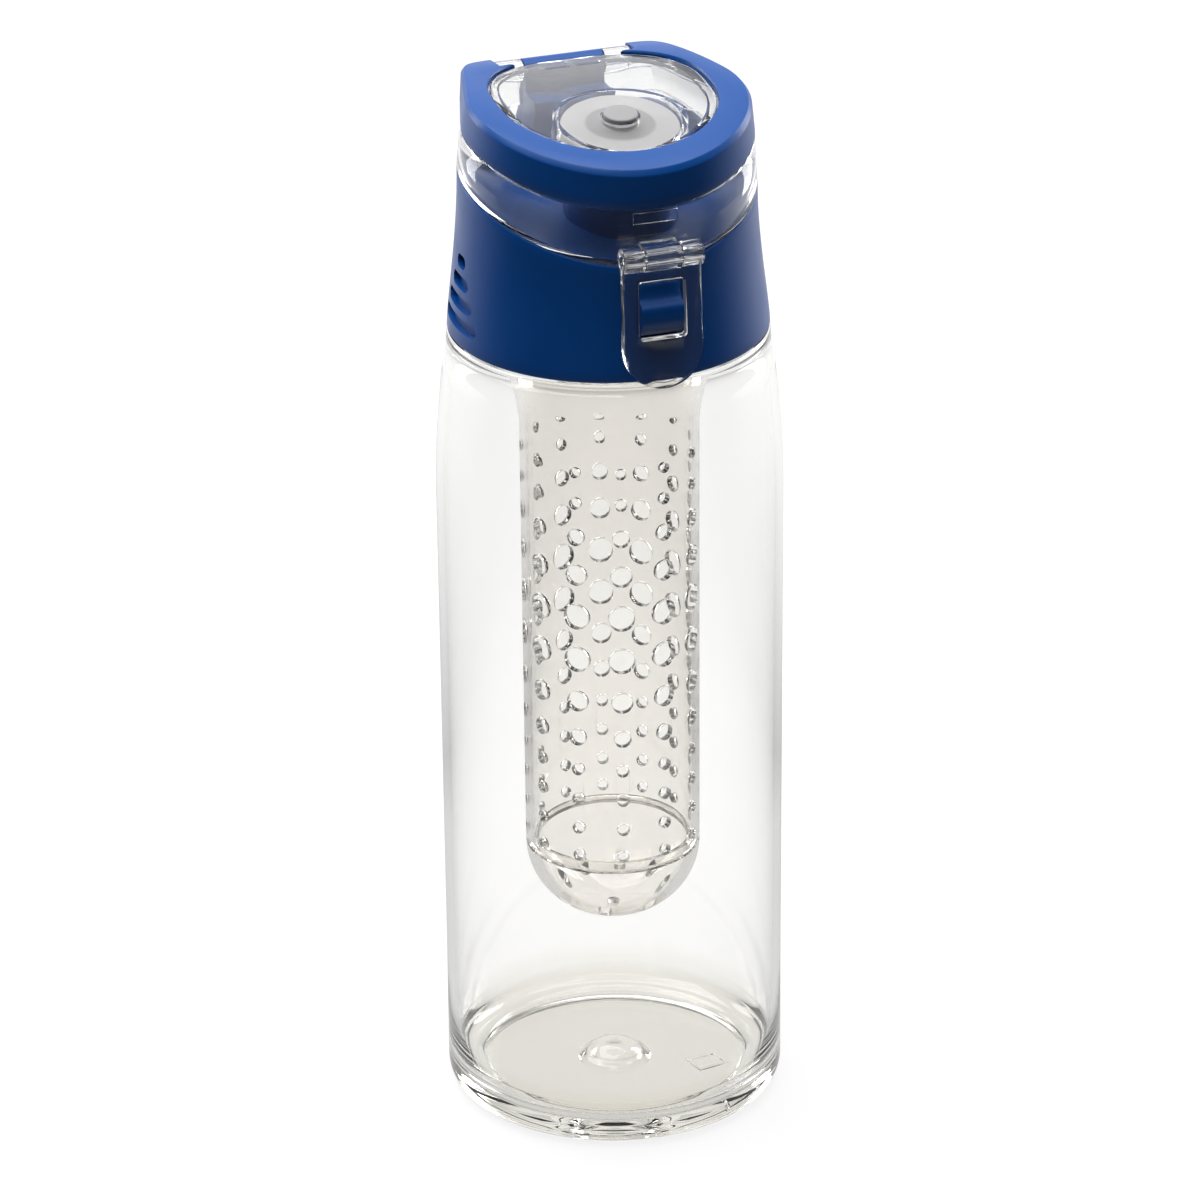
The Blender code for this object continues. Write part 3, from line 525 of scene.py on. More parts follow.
def seam_radius(angle):
    return lid_radius(angle, COLLAR_TOP_R, 0.0, LID_CORNER)


def trim_radius(angle):
    return lid_radius(angle, (LID_TOP_R + COLLAR_TOP_R) / 2, LID_TOP_CENTRE / 2, LID_CORNER)


def window_radius(angle):
    """The egg-shaped opening in the trim ring, flattened at the back."""
    y = -math.cos(angle)
    dot = y * WINDOW_CENTRE
    egg = dot + math.sqrt(dot * dot - WINDOW_CENTRE * WINDOW_CENTRE + WINDOW_R * WINDOW_R)
    egg *= 1.0 + WINDOW_BULGE * max(0.0, y) ** 1.5
    if y <= 0.2:
        return egg
    return soft_minimum((egg, WINDOW_BACK / y), 14.0)


def outline_ring(radius_at, arc, drop=0.0, inset=0.0, scale=1.0):
    ring = []
    for angle in polar_angles():
        radius = (radius_at(angle) - inset) * scale
        x, y = radius * math.sin(angle), -radius * math.cos(angle)
        ring.append((x, y, arc_height(arc, y) - drop))
    return ring


def lifted_at_back(ring):
    """Raise the skirt's edge off the collar, more at the back where it swings down past the rim."""
    return [(x, y, z + GAP + SKIRT_LIFT * min(1.0, max(0.0, (y - 20.0) / 8.0))) for x, y, z in ring]


def plate_tilt():
    back = SPOUT_Y - FRONT_Y
    return math.atan(TOP_ARC[1] - 2 * TOP_ARC[2] * back)


def stopper_place():
    spot = (0.0, SPOUT_Y * MM, STOPPER_Z * MM)
    return Matrix.Translation(spot) @ Matrix.Rotation(plate_tilt(), 4, "X")


# ---------------------------------------------------------------- bottle

def thread_height(angle, height):
    """How far the thread ridge stands out of the neck at a point."""
    best = 0.0
    for turn in range(2):
        share = (angle / (2 * math.pi) + turn) / THREAD_TURNS
        if share > 1.0:
            continue
        middle = THREAD_START_Z + share * THREAD_TURNS * THREAD_PITCH
        across = abs(height - middle)
        runout = min(1.0, share / THREAD_RUNOUT, (1.0 - share) / THREAD_RUNOUT)
        if across < 1.0:
            best = max(best, THREAD_DEPTH * min(1.0, (1.0 - across) * 1.8) * runout)
    return best


def make_bottle(material):
    """The shell is turned from the floor's middle up inside, over the rim and down outside."""
    outer_wall = smooth_line([(33.75, 174.9), (34.15, 170.7), (34.7, 167.3), (35.1, 163.9), (35.42, 160.5),
                              (35.7, 157.1), (36.2, 150.3), (36.48, 141.0), (36.42, 126.0), (36.35, 112.0),
                              (36.22, 84.0), (36.12, 55.6), (36.02, 34.0), (36.0, 12.0)], 3)
    inner_wall = [(radius - WALL, height) for radius, height in outer_wall if 12.5 < height < 168.0][::-1]
    floor = smooth_line([(0.0, 7.4), (2.4, 7.2), (4.6, 6.4), (6.4, 4.9), (9.0, 4.3), (18.0, 4.15),
                         (27.6, 4.3), (28.6, 4.3), (29.2, 4.75), (29.9, 5.1), (31.6, 5.7), (33.2, 7.4),
                         (34.1, 10.6)], 4)
    shoulder_inside = smooth_line([inner_wall[-1], (31.6, 172.2), (29.6, 174.9),
                                   (27.6, 176.4), (26.7, 178.4), (26.6, 181.0)], 4)[1:]
    rim = [(26.6, 194.9)] + arc_points((27.3, 194.9), 0.7, 180, 90, 5)[1:]
    rim += arc_points((28.3, 194.9), 0.7, 90, 0, 5)
    heel = [(31.6 + 4.4 * math.cos(a), 5.2 - 5.2 * math.sin(a)) for a in
            (math.radians(7.5 * step) for step in range(13))]
    underside = smooth_line([(30.2, 0.0), (29.6, 0.25), (29.0, 1.0), (27.6, 1.5), (10.0, 1.9), (7.2, 2.4),
                             (4.8, 3.9), (2.4, 4.5), (0.0, 4.6)], 4)
    inside = floor + inner_wall + shoulder_inside + rim
    threaded = []
    for height in [NECK_TOP_Z - NECK_STEP * step for step in range(NECK_ROWS)]:
        ring = []
        for angle in [2 * math.pi * index / ROUND for index in range(ROUND)]:
            radius = NECK_R + thread_height(angle, height)
            ring.append((radius * math.cos(angle), radius * math.sin(angle), height))
        threaded.append(ring)
    shoulder = [(NECK_R, 178.0), (29.3, 176.4), (30.0, 175.75), (33.1, 175.7)]
    shoulder += arc_points((33.1, 175.05), 0.65, 75, 15, 4)
    outside = shoulder + outer_wall + heel + underside
    item = lofted("bottle_shell", [ring_or_pole(*point) for point in inside] + threaded
                  + [ring_or_pole(*point) for point in outside])
    # small square mould mark on the floor, standing just proud of it
    mark = box("floor_mark", (12.0, -17.5, 3.6), (19.4, -10.1, 4.5), 0.15)
    spin = Matrix.Rotation(math.radians(8), 4, "Z")
    mark.data.transform(spin)
    hollow = box("floor_mark_hollow", (12.9, -16.6, 4.25), (18.5, -11.0, 6.0))
    hollow.data.transform(spin)
    combine(mark, [("DIFFERENCE", hollow)])
    combine(item, [("UNION", mark)])
    complete(item, material, "bottle", "bottle_body")


# ---------------------------------------------------------------- collar

def collar_rings():
    """From the rounded lower edge up the wall, over the top edge and across the deck."""
    rings = []
    edge = COLLAR_LOWER_EDGE
    for step in range(4):
        angle = math.radians(30 * step)
        radius = COLLAR_BASE_R - edge + edge * math.sin(angle)
        height = COLLAR_BASE_Z + edge - edge * math.cos(angle)
        rings.append([(radius * math.sin(a), -radius * math.cos(a), height) for a in polar_angles()])
    for level in range(1, COLLAR_LEVELS + 1):
        share = level / COLLAR_LEVELS
        ring = []
        for angle in polar_angles():
            top = seam_radius(angle)
            blend = math.sin(share * math.pi / 2) ** 1.2
            radius = COLLAR_BASE_R + (top - COLLAR_BASE_R) * blend
            top_z = arc_height(SEAM_ARC, -top * math.cos(angle)) - 0.25
            height = COLLAR_BASE_Z + edge + (top_z - COLLAR_BASE_Z - edge) * share
            ring.append((radius * math.sin(angle), -radius * math.cos(angle), height))
        rings.append(ring)
    for inset, drop, scale in ((0.08, 0.07, 1.0), (0.3, 0.0, 1.0), (2.3, 0.0, 1.0), (2.55, 0.1, 1.0),
                               (2.65, 0.35, 1.0), (2.8, 2.0, 1.0), (2.6, 2.0, 0.6), (2.6, 2.0, 0.2)):
        rings.append(outline_ring(seam_radius, SEAM_ARC, drop, inset, scale))
    return rings


def grip_cutter(side, height, half_width):
    """One rounded slot that follows the collar's round wall."""
    surface = COLLAR_BASE_R - 0.115 * (height - COLLAR_BASE_Z)
    depth = surface - GRIP_DEPTH
    half_height = GRIP_HALF_HEIGHT
    mesh_data = bmesh.new()
    columns = []
    for step in range(GRIP_STEPS + 1):
        across = -half_width + 2 * half_width * step / GRIP_STEPS
        # the slot's ends are rounded
        reach = half_width - abs(across)
        rise = half_height if reach >= half_height else math.sqrt(
            max(0.02, half_height ** 2 - (half_height - reach) ** 2))
        angle = across / surface
        column = []
        for radius in (depth, surface + 3.0):
            for level in (-rise, rise):
                column.append(mesh_data.verts.new((side * radius * math.cos(angle) * MM,
                                                   radius * math.sin(angle) * MM, (height + level) * MM)))
        columns.append(column)
    for a, b in zip(columns, columns[1:]):
        for first, second in ((0, 1), (1, 3), (3, 2), (2, 0)):
            mesh_data.faces.new((a[first], a[second], b[second], b[first]))
    for column in (columns[0], columns[-1]):
        mesh_data.faces.new((column[0], column[1], column[3], column[2]))
    return link_object("grip", finish_mesh(mesh_data, "grip"))


def spout_ring(radius, drop):
    """A ring round the spout, on a plane that slopes like the lid's plate."""
    slope = math.tan(plate_tilt())
    return [(x, y + SPOUT_Y, SPOUT_TOP_Z - drop + y * slope)
            for x, y, _ in ring_or_pole(radius, 0.0, RIM_STEPS)]


def pocket_ring(radius):
    return [(x, y, arc_height(SEAM_ARC, y) - POCKET_DEPTH)
            for x, y, _ in ring_or_pole(radius, 0.0, RIM_STEPS)]


def make_collar(material):
    item = lofted("collar_body", collar_rings())
    ceiling = COLLAR_CEILING_Z
    cavity = turned("cavity", [(0.0, ceiling), (20.6, ceiling), (20.6, 186.4), (20.9, 186.0), (22.1, 186.0),
                               (22.4, 186.4), (22.4, ceiling), (30.6, ceiling), (30.6, 178.1),
                               (31.5, COLLAR_BASE_Z), (31.5, 170.0), (0.0, 170.0)])
    pocket = lofted("pocket", [ring_or_pole(POCKET_R, ceiling - 1.0, RIM_STEPS), pocket_ring(POCKET_R),
                               pocket_ring(7.4)])
    steps = [("DIFFERENCE", cavity), ("DIFFERENCE", pocket)]
    for side in (-1, 1):
        for index, half_width in enumerate(GRIP_HALF_WIDTHS):
            height = GRIP_FIRST_Z + index * GRIP_SPACING
            steps.append(("DIFFERENCE", grip_cutter(side, height, half_width)))
    foot = [(x, y + SPOUT_Y, 203.0) for x, y, _ in ring_or_pole(SPOUT_R, 0.0, RIM_STEPS)]
    post = lofted("spout_post", [foot, spout_ring(SPOUT_R, 0.6), spout_ring(10.85, 0.25),
                                 spout_ring(10.55, 0.06), spout_ring(10.2, 0.0)])
    steps.append(("UNION", post))
    bore_middle = (0.0, SPOUT_Y, (SPOUT_TOP_Z + 196.0) / 2)
    bore = rod("spout_bore", SPOUT_BORE_R, 16.0, bore_middle, UPRIGHT, RIM_STEPS)
    steps.append(("DIFFERENCE", bore))
    steps.append(("UNION", box("tower", (-BARREL_HALF, HINGE_Y - 2.2, 209.5),
                               (BARREL_HALF, HINGE_Y + BARREL_R, HINGE_Z))))
    ledge_half = BARREL_HALF + 0.2
    steps.append(("UNION", box("ledge", (-ledge_half, 20.6, 209.0), (ledge_half, 28.5, 217.6), 0.4)))
    steps.append(("UNION", rod("barrel", BARREL_R, BARREL_HALF, HINGE)))
    steps.append(("DIFFERENCE", rod("pin_bore", HINGE_PIN_R + GAP, BARREL_HALF + 1, HINGE)))
    # the catch: a rounded nose with an undercut below it
    nose = smooth_line([(31.3, 197.3), (31.9, 196.6), (32.3, 195.2), (33.0, 193.9), (34.2, 193.2),
                        (34.95, 192.4), (35.1, 191.2), (35.1, 189.4), (34.5, 187.7), (33.5, 186.4)], 4)
    view = [(30.0, 197.3)] + nose + [(30.0, 186.35)]
    steps.append(("UNION", side_block("catch", view, CATCH_HALF)))
    combine(item, steps)
    complete(item, material, "cap", "collar")


# ---------------------------------------------------------------- seals and infuser

def make_gasket(name, inner, outer, low, high, material, body, node):
    edge = 0.35
    profile = []
    for centre, start in (((outer - edge, high - edge), 90), ((outer - edge, low + edge), 0),
                          ((inner + edge, low + edge), -90), ((inner + edge, high - edge), 180)):
        profile += arc_points(centre, edge, start, start - 90, 4)
    item = turned(name, profile, RIM_STEPS, closed=True)
    complete(item, material, body, node)


def make_infuser_tube(material):
    outside = [(19.9, 196.2), (20.2, 195.9), (20.2, 188.0), (20.1, 187.5), (19.5, 187.0), (19.0, 186.5),
               (18.9, 160.0), (18.75, 110.0), (18.6, 57.8), (18.3, 57.4)]
    inside = [(17.3, 57.4), (17.1, 57.7), (17.25, 110.0), (17.5, 186.0), (17.5, 195.9), (17.8, 196.2)]
    item = turned("infuser_wall", outside + inside, closed=True)
    mesh_data = bmesh.new()
    for height, diameter in HOLE_ROWS:
        for column in range(HOLE_COLUMNS):
            angle = HOLE_PHASE + column * 2 * math.pi / HOLE_COLUMNS
            turn = Matrix.Rotation(angle, 3, "Z") @ ALONG_Y
            spot = (HOLE_MIDDLE_R * math.sin(angle), -HOLE_MIDDLE_R * math.cos(angle), height)
            rod_mesh(mesh_data, diameter / 2, 3.0, spot, turn, 20)
    holes = link_object("holes", finish_mesh(mesh_data, "holes"))
    combine(item, [("DIFFERENCE", holes)])
    soften(item, 0.12, 40.0)
    complete(item, material, "infuser", "infuser_tube")
    radial_normals(item)


def make_end_cap(material):
    inner = [(15.9 * math.sin(a), SEAM_Z - 15.5 * math.cos(a)) for a in
             (math.radians(90 * step / 22) for step in range(23))]
    rim = [(15.9, SEAM_Z + 1.8), (16.1, SEAM_Z + 2.0), (16.6, SEAM_Z + 2.0), (16.8, SEAM_Z + 1.8),
           (16.8, SEAM_Z)]
    outer = [(DOME_R * math.cos(a), SEAM_Z - 17.0 * math.sin(a)) for a in
             (math.radians(90 * step / 24) for step in range(25))]
    item = turned("infuser_dome", inner + rim + outer, 128)
    mesh_data = bmesh.new()
    for index in range(8):
        angle = HOLE_PHASE + index * math.pi / 4
        spot = (DRAIN_CIRCLE_R * math.sin(angle), -DRAIN_CIRCLE_R * math.cos(angle), SEAM_Z - 14.0)
        rod_mesh(mesh_data, DRAIN_R, 6.0, spot, UPRIGHT, 20)
    rod_mesh(mesh_data, DRAIN_R, 6.0, (0.0, 0.0, SEAM_Z - 17.0), UPRIGHT, 20)
    drains = link_object("drains", finish_mesh(mesh_data, "drains"))
    combine(item, [("DIFFERENCE", drains)])
    complete(item, material, "infuser_cap", "infuser_end_cap")


# ---------------------------------------------------------------- lid

def lid_shell_rings():
    step = TRIM_THICKNESS + GAP
    plate = [outline_ring(window_radius, TOP_ARC, drop=step, inset=GAP),
             outline_ring(window_radius, TOP_ARC, drop=PLATE_DROP + 0.6, inset=GAP),
             outline_ring(window_radius, TOP_ARC, drop=PLATE_DROP + 0.2, inset=GAP + 0.15),
             outline_ring(window_radius, TOP_ARC, drop=PLATE_DROP + 0.03, inset=GAP + 0.45),
             outline_ring(window_radius, TOP_ARC, drop=PLATE_DROP, inset=GAP + 0.9)]
    for scale in (0.8, 0.55, 0.3, 0.1):
        plate.append(outline_ring(window_radius, TOP_ARC, drop=PLATE_DROP, inset=GAP, scale=scale))
    return [lifted_at_back(outline_ring(seam_radius, SEAM_ARC, inset=SKIRT_WALL + 1.5)),
            lifted_at_back(outline_ring(seam_radius, SEAM_ARC, inset=0.15)),
            lifted_at_back(outline_ring(seam_radius, SEAM_ARC, inset=0.0, drop=-0.15)),
            outline_ring(trim_radius, TRIM_ARC, drop=GAP + 0.15),
            outline_ring(trim_radius, TRIM_ARC, drop=GAP, inset=0.15),
            outline_ring(trim_radius, TRIM_ARC, drop=GAP, inset=step),
            outline_ring(top_radius, TOP_ARC, drop=step + 0.5, inset=step),
            outline_ring(top_radius, TOP_ARC, drop=step, inset=step + 0.5)] + plate


def lid_hollow():
    """What is cut out of the solid lid, leaving its skirt, band and window plate."""
    band_drop = TRIM_THICKNESS + GAP + PLATE_THICKNESS
    plate_drop = PLATE_DROP + PLATE_THICKNESS
    inset = TRIM_THICKNESS + GAP + 1.6
    rings = [outline_ring(seam_radius, SEAM_ARC, drop=4.0, inset=SKIRT_WALL),
             outline_ring(seam_radius, SEAM_ARC, drop=-2.0, inset=SKIRT_WALL),
             outline_ring(trim_radius, TRIM_ARC, drop=2.5, inset=SKIRT_WALL),
             outline_ring(trim_radius, TRIM_ARC, drop=0.5, inset=inset),
             outline_ring(top_radius, TOP_ARC, drop=band_drop + 0.6, inset=inset),
             outline_ring(top_radius, TOP_ARC, drop=band_drop, inset=inset + 0.6),
             outline_ring(window_radius, TOP_ARC, drop=band_drop, inset=1.9),
             outline_ring(window_radius, TOP_ARC, drop=plate_drop + 0.3, inset=2.0),
             outline_ring(window_radius, TOP_ARC, drop=plate_drop, inset=2.4),
             outline_ring(window_radius, TOP_ARC, drop=plate_drop, inset=1.9, scale=0.6),
             outline_ring(window_radius, TOP_ARC, drop=plate_drop, inset=1.9, scale=0.25)]
    return lofted("hollow", rings)


def make_lid_shell(material):
    item = lofted("lid_clear", lid_shell_rings())
    steps = [("DIFFERENCE", lid_hollow())]
    holder = turned("holder", [(12.7, 1.4), (13.9, 1.4), (13.9, -3.2), (13.7, -3.4), (12.9, -3.4),
                               (12.7, -3.2)], RIM_STEPS, closed=True)
    holder.data.transform(stopper_place())
    steps.append(("UNION", holder))
    knob_hole = rod("knob_hole", KNOB_HOLE_R, 2.0, (0.0, 0.0, 2.2), UPRIGHT, 64)
    knob_hole.data.transform(stopper_place())
    steps.append(("DIFFERENCE", knob_hole))
    steps.append(("UNION", rod("knuckles", BARREL_R, KNUCKLE_END, HINGE)))
    room_half = BARREL_HALF + 0.4
    room = box("room", (-room_half, HINGE_Y - 3.4, 205.0), (room_half, 36.0, 230.0))
    steps.append(("DIFFERENCE", room))
    nose = arc_points((-CLASP_PIN_Y, CLASP_PIN_Z), CLASP_BARREL_R, -90, 90, 24)
    lug_view = [(30.2, CLASP_PIN_Z - 1.9)] + nose + [(30.2, CLASP_PIN_Z + CLASP_BARREL_R)]
    steps.append(("UNION", side_block("lug", lug_view, CLASP_LUG_HALF)))
    steps.append(("DIFFERENCE", rod("knuckle_bore", HINGE_PIN_R + GAP, KNUCKLE_END + 1, HINGE)))
    steps.append(("DIFFERENCE", rod("lug_bore", CLASP_BORE_R, CLASP_HALF, CLASP_AXIS, sides=30)))
    steps.append(("DIFFERENCE", box("tab_pocket", (-4.8, -34.0, 209.6), (4.8, -30.3, 212.0))))
    # two shallow sight pockets under the plate, in front of the hinge
    for middle in (-3.4, 3.4):
        sight = box("sight", (middle - 2.6, 21.4, 222.6), (middle + 2.6, 23.8, 224.5))
        steps.append(("DIFFERENCE", sight))
    combine(item, steps)
    complete(item, material, "lid", "lid_shell")


def make_lid_trim(material):
    """The blue ring: underside, outer wall, chamfered top edge, then the window's rounded edge."""
    rings = [outline_ring(trim_radius, TRIM_ARC, inset=TRIM_THICKNESS),
             outline_ring(trim_radius, TRIM_ARC, inset=0.35),
             outline_ring(trim_radius, TRIM_ARC, inset=0.1, drop=-0.1),
             outline_ring(trim_radius, TRIM_ARC, drop=-0.35)]
    for share in (0.35, 0.7):
        lower = outline_ring(trim_radius, TRIM_ARC, drop=-0.35)
        upper = outline_ring(top_radius, TOP_ARC, drop=1.35)
        rings.append([tuple(a + (b - a) * share for a, b in zip(p, q)) for p, q in zip(lower, upper)])
    rings += [outline_ring(top_radius, TOP_ARC, drop=1.35),
              outline_ring(top_radius, TOP_ARC, drop=1.0, inset=0.03),
              outline_ring(top_radius, TOP_ARC, drop=0.88, inset=0.1),
              outline_ring(top_radius, TOP_ARC, drop=0.12, inset=0.72),
              outline_ring(top_radius, TOP_ARC, drop=0.03, inset=0.84),
              outline_ring(top_radius, TOP_ARC, inset=1.0),
              outline_ring(window_radius, TOP_ARC, inset=-0.55),
              outline_ring(window_radius, TOP_ARC, inset=-0.2, drop=0.08),
              outline_ring(window_radius, TOP_ARC, drop=0.4),
              outline_ring(window_radius, TOP_ARC, drop=TRIM_THICKNESS),
              outline_ring(top_radius, TOP_ARC, drop=TRIM_THICKNESS, inset=TRIM_THICKNESS)]
    item = lofted("lid_ring", rings, closed=True)
    half = KNUCKLE_END + GAP
    room = box("trim_gap", (-half, HINGE_Y - 4.2, 205.0), (half, 36.0, 230.0))
    combine(item, [("DIFFERENCE", room)])
    complete(item, material, "lid", "lid_trim")


def make_stopper(material):
    profile = [(0.0, 3.5)] + arc_points((3.2, 3.1), 0.4, 90, 0, 5)
    profile += arc_points((4.2, 0.6), 0.6, 180, 270, 5)
    profile += [(6.6, 0.0), (6.9, 0.12), (7.2, 0.0)]
    profile += arc_points((11.9, -0.4), 0.4, 90, 0, 5) + arc_points((11.9, -1.2), 0.4, 0, -90, 5)
    profile += [(8.4, -1.6), (8.3, -1.9), (7.7, -5.0), (7.4, -5.2), (6.8, -5.2), (6.5, -4.9), (6.9, -2.2),
                (6.6, -2.0), (0.0, -2.0)]
    item = turned("stopper_seal", profile, 128)
    item.data.transform(stopper_place())
    complete(item, material, "lid", "stopper")


# ---------------------------------------------------------------- clasp and pins

def make_clasp(material):
    length = CLASP_PIN_Z - CLASP_TIP_Z
    bottom = arc_points((0.0, -length + CLASP_HALF), CLASP_HALF, 180, 360, 40)
    outline = bottom + [(CLASP_HALF, 0.0), (-CLASP_HALF, 0.0)]
    mesh = slab("clasp_plate", outline, CLASP_PLATE, 0.55, 4)
    middle_y = CLASP_FOOT_Y + (CLASP_PIN_Z - COLLAR_BASE_Z) * math.tan(CLASP_LEAN)
    upright = Matrix.Rotation(math.pi / 2 - CLASP_LEAN, 4, "X")
    mesh.transform(Matrix.Translation((0.0, middle_y * MM, CLASP_PIN_Z * MM)) @ upright)
    item = link_object("clasp_lever", mesh)
    steps = [("UNION", rod("clasp_barrel", CLASP_BARREL_R, CLASP_HALF - 0.05, CLASP_AXIS)),
             ("DIFFERENCE", rod("clasp_notch", CLASP_BARREL_R + GAP, CLASP_LUG_HALF + GAP, CLASP_AXIS)),
             ("DIFFERENCE", box("clasp_window", (-5.0, -40.0, 185.9), (5.0, -30.0, 198.2), 0.8)),
             ("DIFFERENCE", rod("clasp_bore", CLASP_BORE_R, CLASP_HALF + 1, CLASP_AXIS, sides=30))]
    # a small lens-shaped thumb relief near the tip
    low = arc_points((0.0, RELIEF_ARC_OFFSET), RELIEF_ARC_R, 242, 298, 16)
    high = arc_points((0.0, -RELIEF_ARC_OFFSET), RELIEF_ARC_R, 62, 118, 16)
    relief = slab("thumb_relief", low + high, 1.2)
    relief.transform(Matrix.Translation((0.0, -36.2 * MM, 177.2 * MM)) @ upright)
    steps.append(("DIFFERENCE", link_object("thumb_relief", relief)))
    combine(item, steps)
    soften(item, 0.25, 50.0)
    complete(item, material, "clasp", "clasp")


def make_pin(name, radius, half_length, y, z, material, body, node):
    item = rod(name, radius, half_length, (0.0, y, z), ALONG_X, 32)
    soften(item, 0.2, 40.0)
    complete(item, material, body, node)


# ---------------------------------------------------------------- stage

def math_node(tree, operation, first, second):
    """A Math node's result; the second value may be a plain number."""
    item = tree.nodes.new("ShaderNodeMath")
    item.operation = operation
    tree.links.new(first, item.inputs[0])
    if isinstance(second, float):
        item.inputs[1].default_value = second
    else:
        tree.links.new(second, item.inputs[1])
    return item.outputs["Value"]


def seen_directly(tree):
    """1 for what is looked at, straight or through clear walls, and 0 for reflected light."""
    path = tree.nodes.new("ShaderNodeLightPath").outputs
    either = math_node(tree, "MAXIMUM", path["Is Camera Ray"], path["Is Transmission Ray"])
    bounces = math_node(tree, "ADD", path["Glossy Depth"], path["Diffuse Depth"])
    unbroken = math_node(tree, "LESS_THAN", bounces, 0.5)
    return math_node(tree, "MULTIPLY", either, unbroken)


def brighter_behind(tree, position, near, far, dark, bright):
    """Grey that rises going back: the studio is dark on the viewer's side and white behind the object.

    Soft, diffuse reflections get less of it, because the lamps light those.
    """
    along = tree.nodes.new("ShaderNodeVectorMath")
    along.operation = "DOT_PRODUCT"
    tree.links.new(position, along.inputs[0])
    along.inputs[1].default_value = BACKWARD
    ramp = tree.nodes.new("ShaderNodeMapRange")
    ramp.interpolation_type = "SMOOTHSTEP"
    tree.links.new(along.outputs["Value"], ramp.inputs["Value"])
    for key, value in zip(("From Min", "From Max", "To Min", "To Max"), (near, far, dark, bright)):
        ramp.inputs[key].default_value = value
    path = tree.nodes.new("ShaderNodeLightPath")
    share = tree.nodes.new("ShaderNodeMapRange")
    tree.links.new(path.outputs["Diffuse Depth"], share.inputs["Value"])
    share.inputs["To Min"].default_value = 1.0
    share.inputs["To Max"].default_value = 0.3
    return math_node(tree, "MULTIPLY", ramp.outputs["Result"], share.outputs["Result"])


def stage():
    """A pale floor, a soft light overhead and a strip light at each side."""
    mesh_data = bmesh.new()
    bmesh.ops.create_grid(mesh_data, x_segments=1, y_segments=1, size=12.0)
    floor = link_object("floor", finish_mesh(mesh_data, "floor"))
    mat = Nodes("floor_paper")
    mat.shader.inputs["Roughness"].default_value = 0.9
    mat.shader.inputs["Specular IOR Level"].default_value = 0.1
    mat.link(mat.mix(mat.noise(3.0), (0.30, 0.30, 0.30), (0.31, 0.31, 0.31)), mat.shader.inputs["Base Color"])
    mat.shader.inputs["Emission Color"].default_value = WHITE
    mat.shader.inputs["Emission Strength"].default_value = FLOOR_GLOW
    # painted light: to the object's reflections the floor is a glowing sheet, brighter going back and with a
    # painted pool of light round the foot
    painted_floor_glow = mat.node("ShaderNodeEmission")
    painted_floor_glow.inputs["Color"].default_value = WHITE
    reach = mat.node("ShaderNodeVectorMath", operation="LENGTH")
    mat.link(mat.place, reach.inputs[0])
    # painted light: a pool of light painted on the floor round the object's foot, seen only in reflections
    painted_pool_round_foot = mat.remap(reach.outputs["Value"], 0.14, 0.34, 0.7, 0.0)
    behind = brighter_behind(mat.tree, mat.place, -0.15, 0.4, 0.07, 1.0)
    mat.link(math_node(mat.tree, "MAXIMUM", behind, painted_pool_round_foot), painted_floor_glow.inputs["Strength"])
    join = mat.node("ShaderNodeMixShader")
    mat.link(seen_directly(mat.tree), join.inputs["Fac"])
    mat.link(painted_floor_glow.outputs["Emission"], join.inputs[1])
    mat.link(mat.shader.outputs["BSDF"], join.inputs[2])
    mat.link(join.outputs["Shader"], mat.output.inputs["Surface"])
    floor.data.materials.append(mat.material)

    world = bpy.data.worlds.new("studio")
    world.use_nodes = True
    bpy.context.scene.world = world
    tree = world.node_tree
    background = tree.nodes["Background"]
    background.inputs["Color"].default_value = WHITE
    direction = tree.nodes.new("ShaderNodeTexCoord").outputs["Generated"]
    tree.links.new(brighter_behind(tree, direction, 0.3, 0.92, 0.08, 1.0), background.inputs["Strength"])
    bright = tree.nodes.new("ShaderNodeBackground")
    bright.inputs["Color"].default_value = WHITE
    bright.inputs["Strength"].default_value = 1.08
    join = tree.nodes.new("ShaderNodeMixShader")
    tree.links.new(seen_directly(tree), join.inputs["Fac"])
    tree.links.new(background.outputs["Background"], join.inputs[1])
    tree.links.new(bright.outputs["Background"], join.inputs[2])
    tree.links.new(join.outputs["Shader"], tree.nodes["World Output"].inputs["Surface"])

    soft_light("overhead", (-0.15, 0.15, 1.25), (0.0, 0.0, 0.15), (1.5, 1.5), 24.0)
    soft_light("left_strip", (-0.75, 1.0, 0.45), (0.0, 0.0, 0.14), (0.35, 0.9), 5.0)
    soft_light("right_strip", (0.95, 0.35, 0.45), (0.0, 0.0, 0.14), (0.30, 0.9), 7.0)


def soft_light(name, spot, target, size, power):
    lamp = bpy.data.lights.new(name, "AREA")
    lamp.shape = "RECTANGLE"
    lamp.size, lamp.size_y = size
    lamp.energy = power
    item = bpy.data.objects.new(name, lamp)
    bpy.context.scene.collection.objects.link(item)
    item.location = spot
    item.rotation_mode = "QUATERNION"
    item.rotation_quaternion = (Vector(target) - Vector(spot)).to_track_quat("-Z", "Y")
    item.visible_camera = False


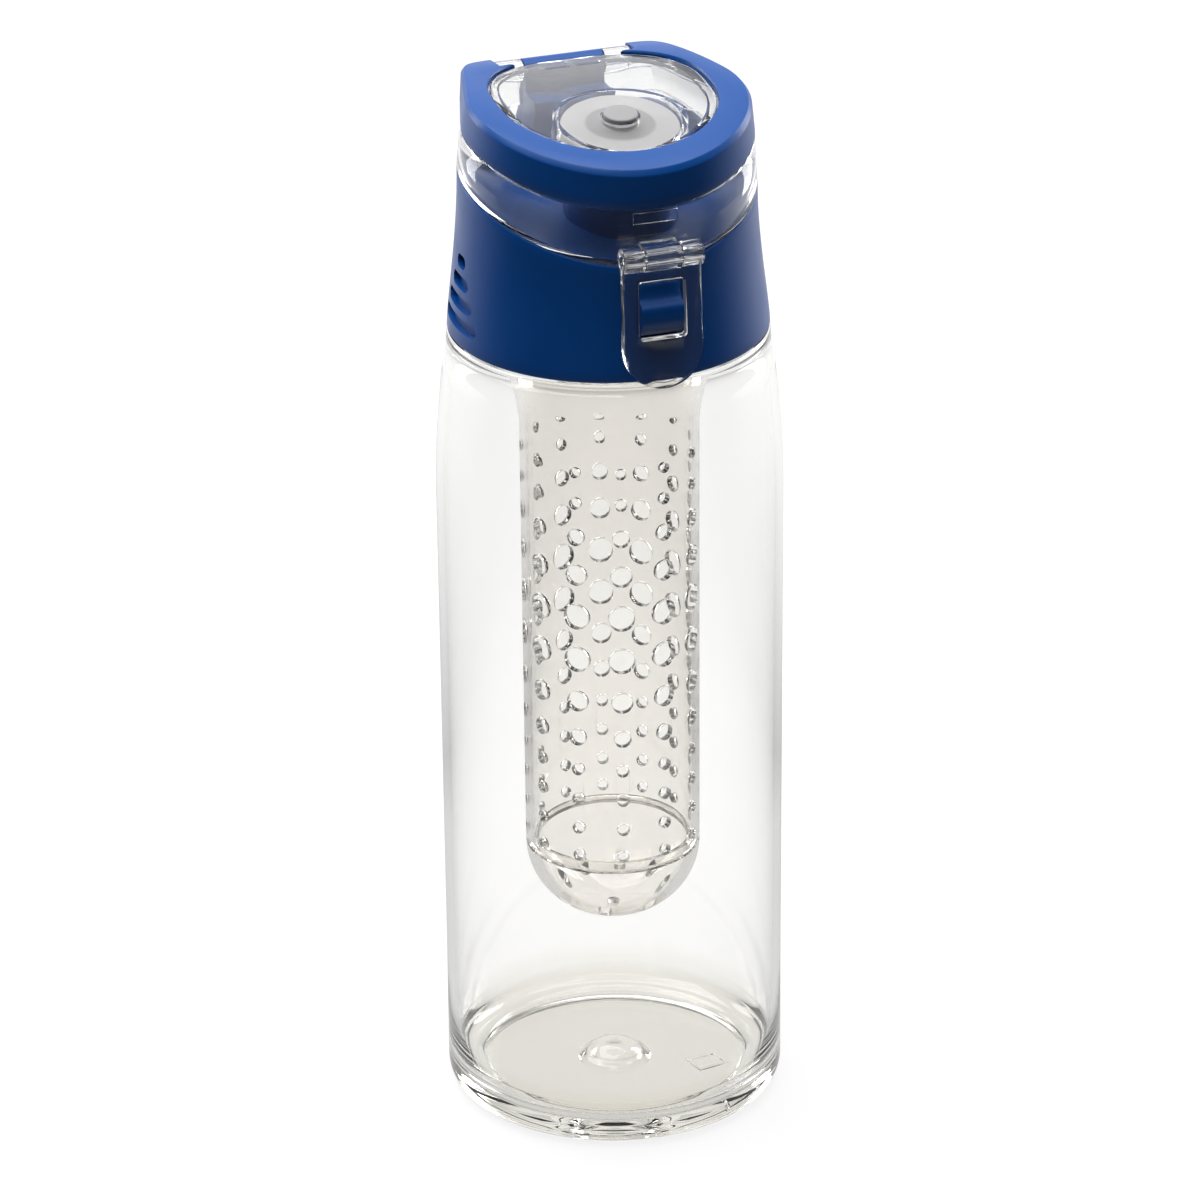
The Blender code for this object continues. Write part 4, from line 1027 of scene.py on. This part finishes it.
def camera():
    """The viewing angle of the picture: from the front left, looking down about 25 degrees."""
    azimuth, elevation, roll = math.radians(-18.5), math.radians(24.72), -0.0094
    back = Vector((math.sin(azimuth) * math.cos(elevation), -math.cos(azimuth) * math.cos(elevation),
                   math.sin(elevation)))
    right = Vector((math.cos(azimuth), math.sin(azimuth), 0.0))
    up = back.cross(right)
    turned_right = right * math.cos(roll) + up * math.sin(roll)
    turned_up = up * math.cos(roll) - right * math.sin(roll)
    lens = bpy.data.cameras.new("camera")
    lens.sensor_width = 36.0
    lens.lens = 220.5
    lens.clip_start = 0.05
    lens.clip_end = 60.0
    item = bpy.data.objects.new("camera", lens)
    bpy.context.scene.collection.objects.link(item)
    spot = Vector((-0.450, -1.3377, 0.762))
    columns = Matrix((turned_right, turned_up, back)).transposed()
    item.matrix_world = Matrix.Translation(spot) @ columns.to_4x4()
    bpy.context.scene.camera = item


# ---------------------------------------------------------------- assembly

bottle_clear = clear_plastic("bottle_copolyester", (0.985, 0.983, 0.975), 0.005,
                             heavy_tint=(0.87, 0.845, 0.78), heavy_below=0.014)
infuser_clear = clear_plastic("infuser_copolyester", (0.965, 0.95, 0.925), 0.003, ripple=0.02)
lid_clear = clear_plastic("lid_copolyester", (0.965, 0.965, 0.965), 0.01)
blue = satin_plastic("blue_polypropylene", (0.0, 0.066, 0.30), 0.36)
silicone = silicone_rubber("white_silicone")
steel = drawn_steel("pin_wire")

make_bottle(bottle_clear)
make_gasket("neck_seal", 26.3, 29.4, 195.9, 197.9, silicone, "cap_seal", "neck_gasket")
make_collar(blue)
make_gasket("infuser_seal", 17.9, 20.1, 196.5, 197.9, silicone, "cap_thread", "infuser_gasket")
make_infuser_tube(infuser_clear)
make_end_cap(infuser_clear)
make_lid_shell(lid_clear)
make_lid_trim(blue)
make_stopper(silicone)
make_pin("hinge_wire", HINGE_PIN_R, KNUCKLE_END - 0.2, HINGE_Y, HINGE_Z, steel, "cap",
         "hinge_pin")
make_clasp(lid_clear)
make_pin("clasp_wire", CLASP_PIN_R, CLASP_HALF - 0.4, CLASP_PIN_Y, CLASP_PIN_Z, lid_clear, "lid",
         "clasp_pin")

stage()
camera()
bpy.context.scene.view_settings.view_transform = "Standard"
cycles = bpy.context.scene.cycles
cycles.max_bounces = CLEAR_BOUNCES
cycles.transmission_bounces = CLEAR_BOUNCES
cycles.transparent_max_bounces = CLEAR_BOUNCES
cycles.glossy_bounces = 8
# the clear walls already let the lamps through, so bent light isn't counted again
cycles.caustics_refractive = False
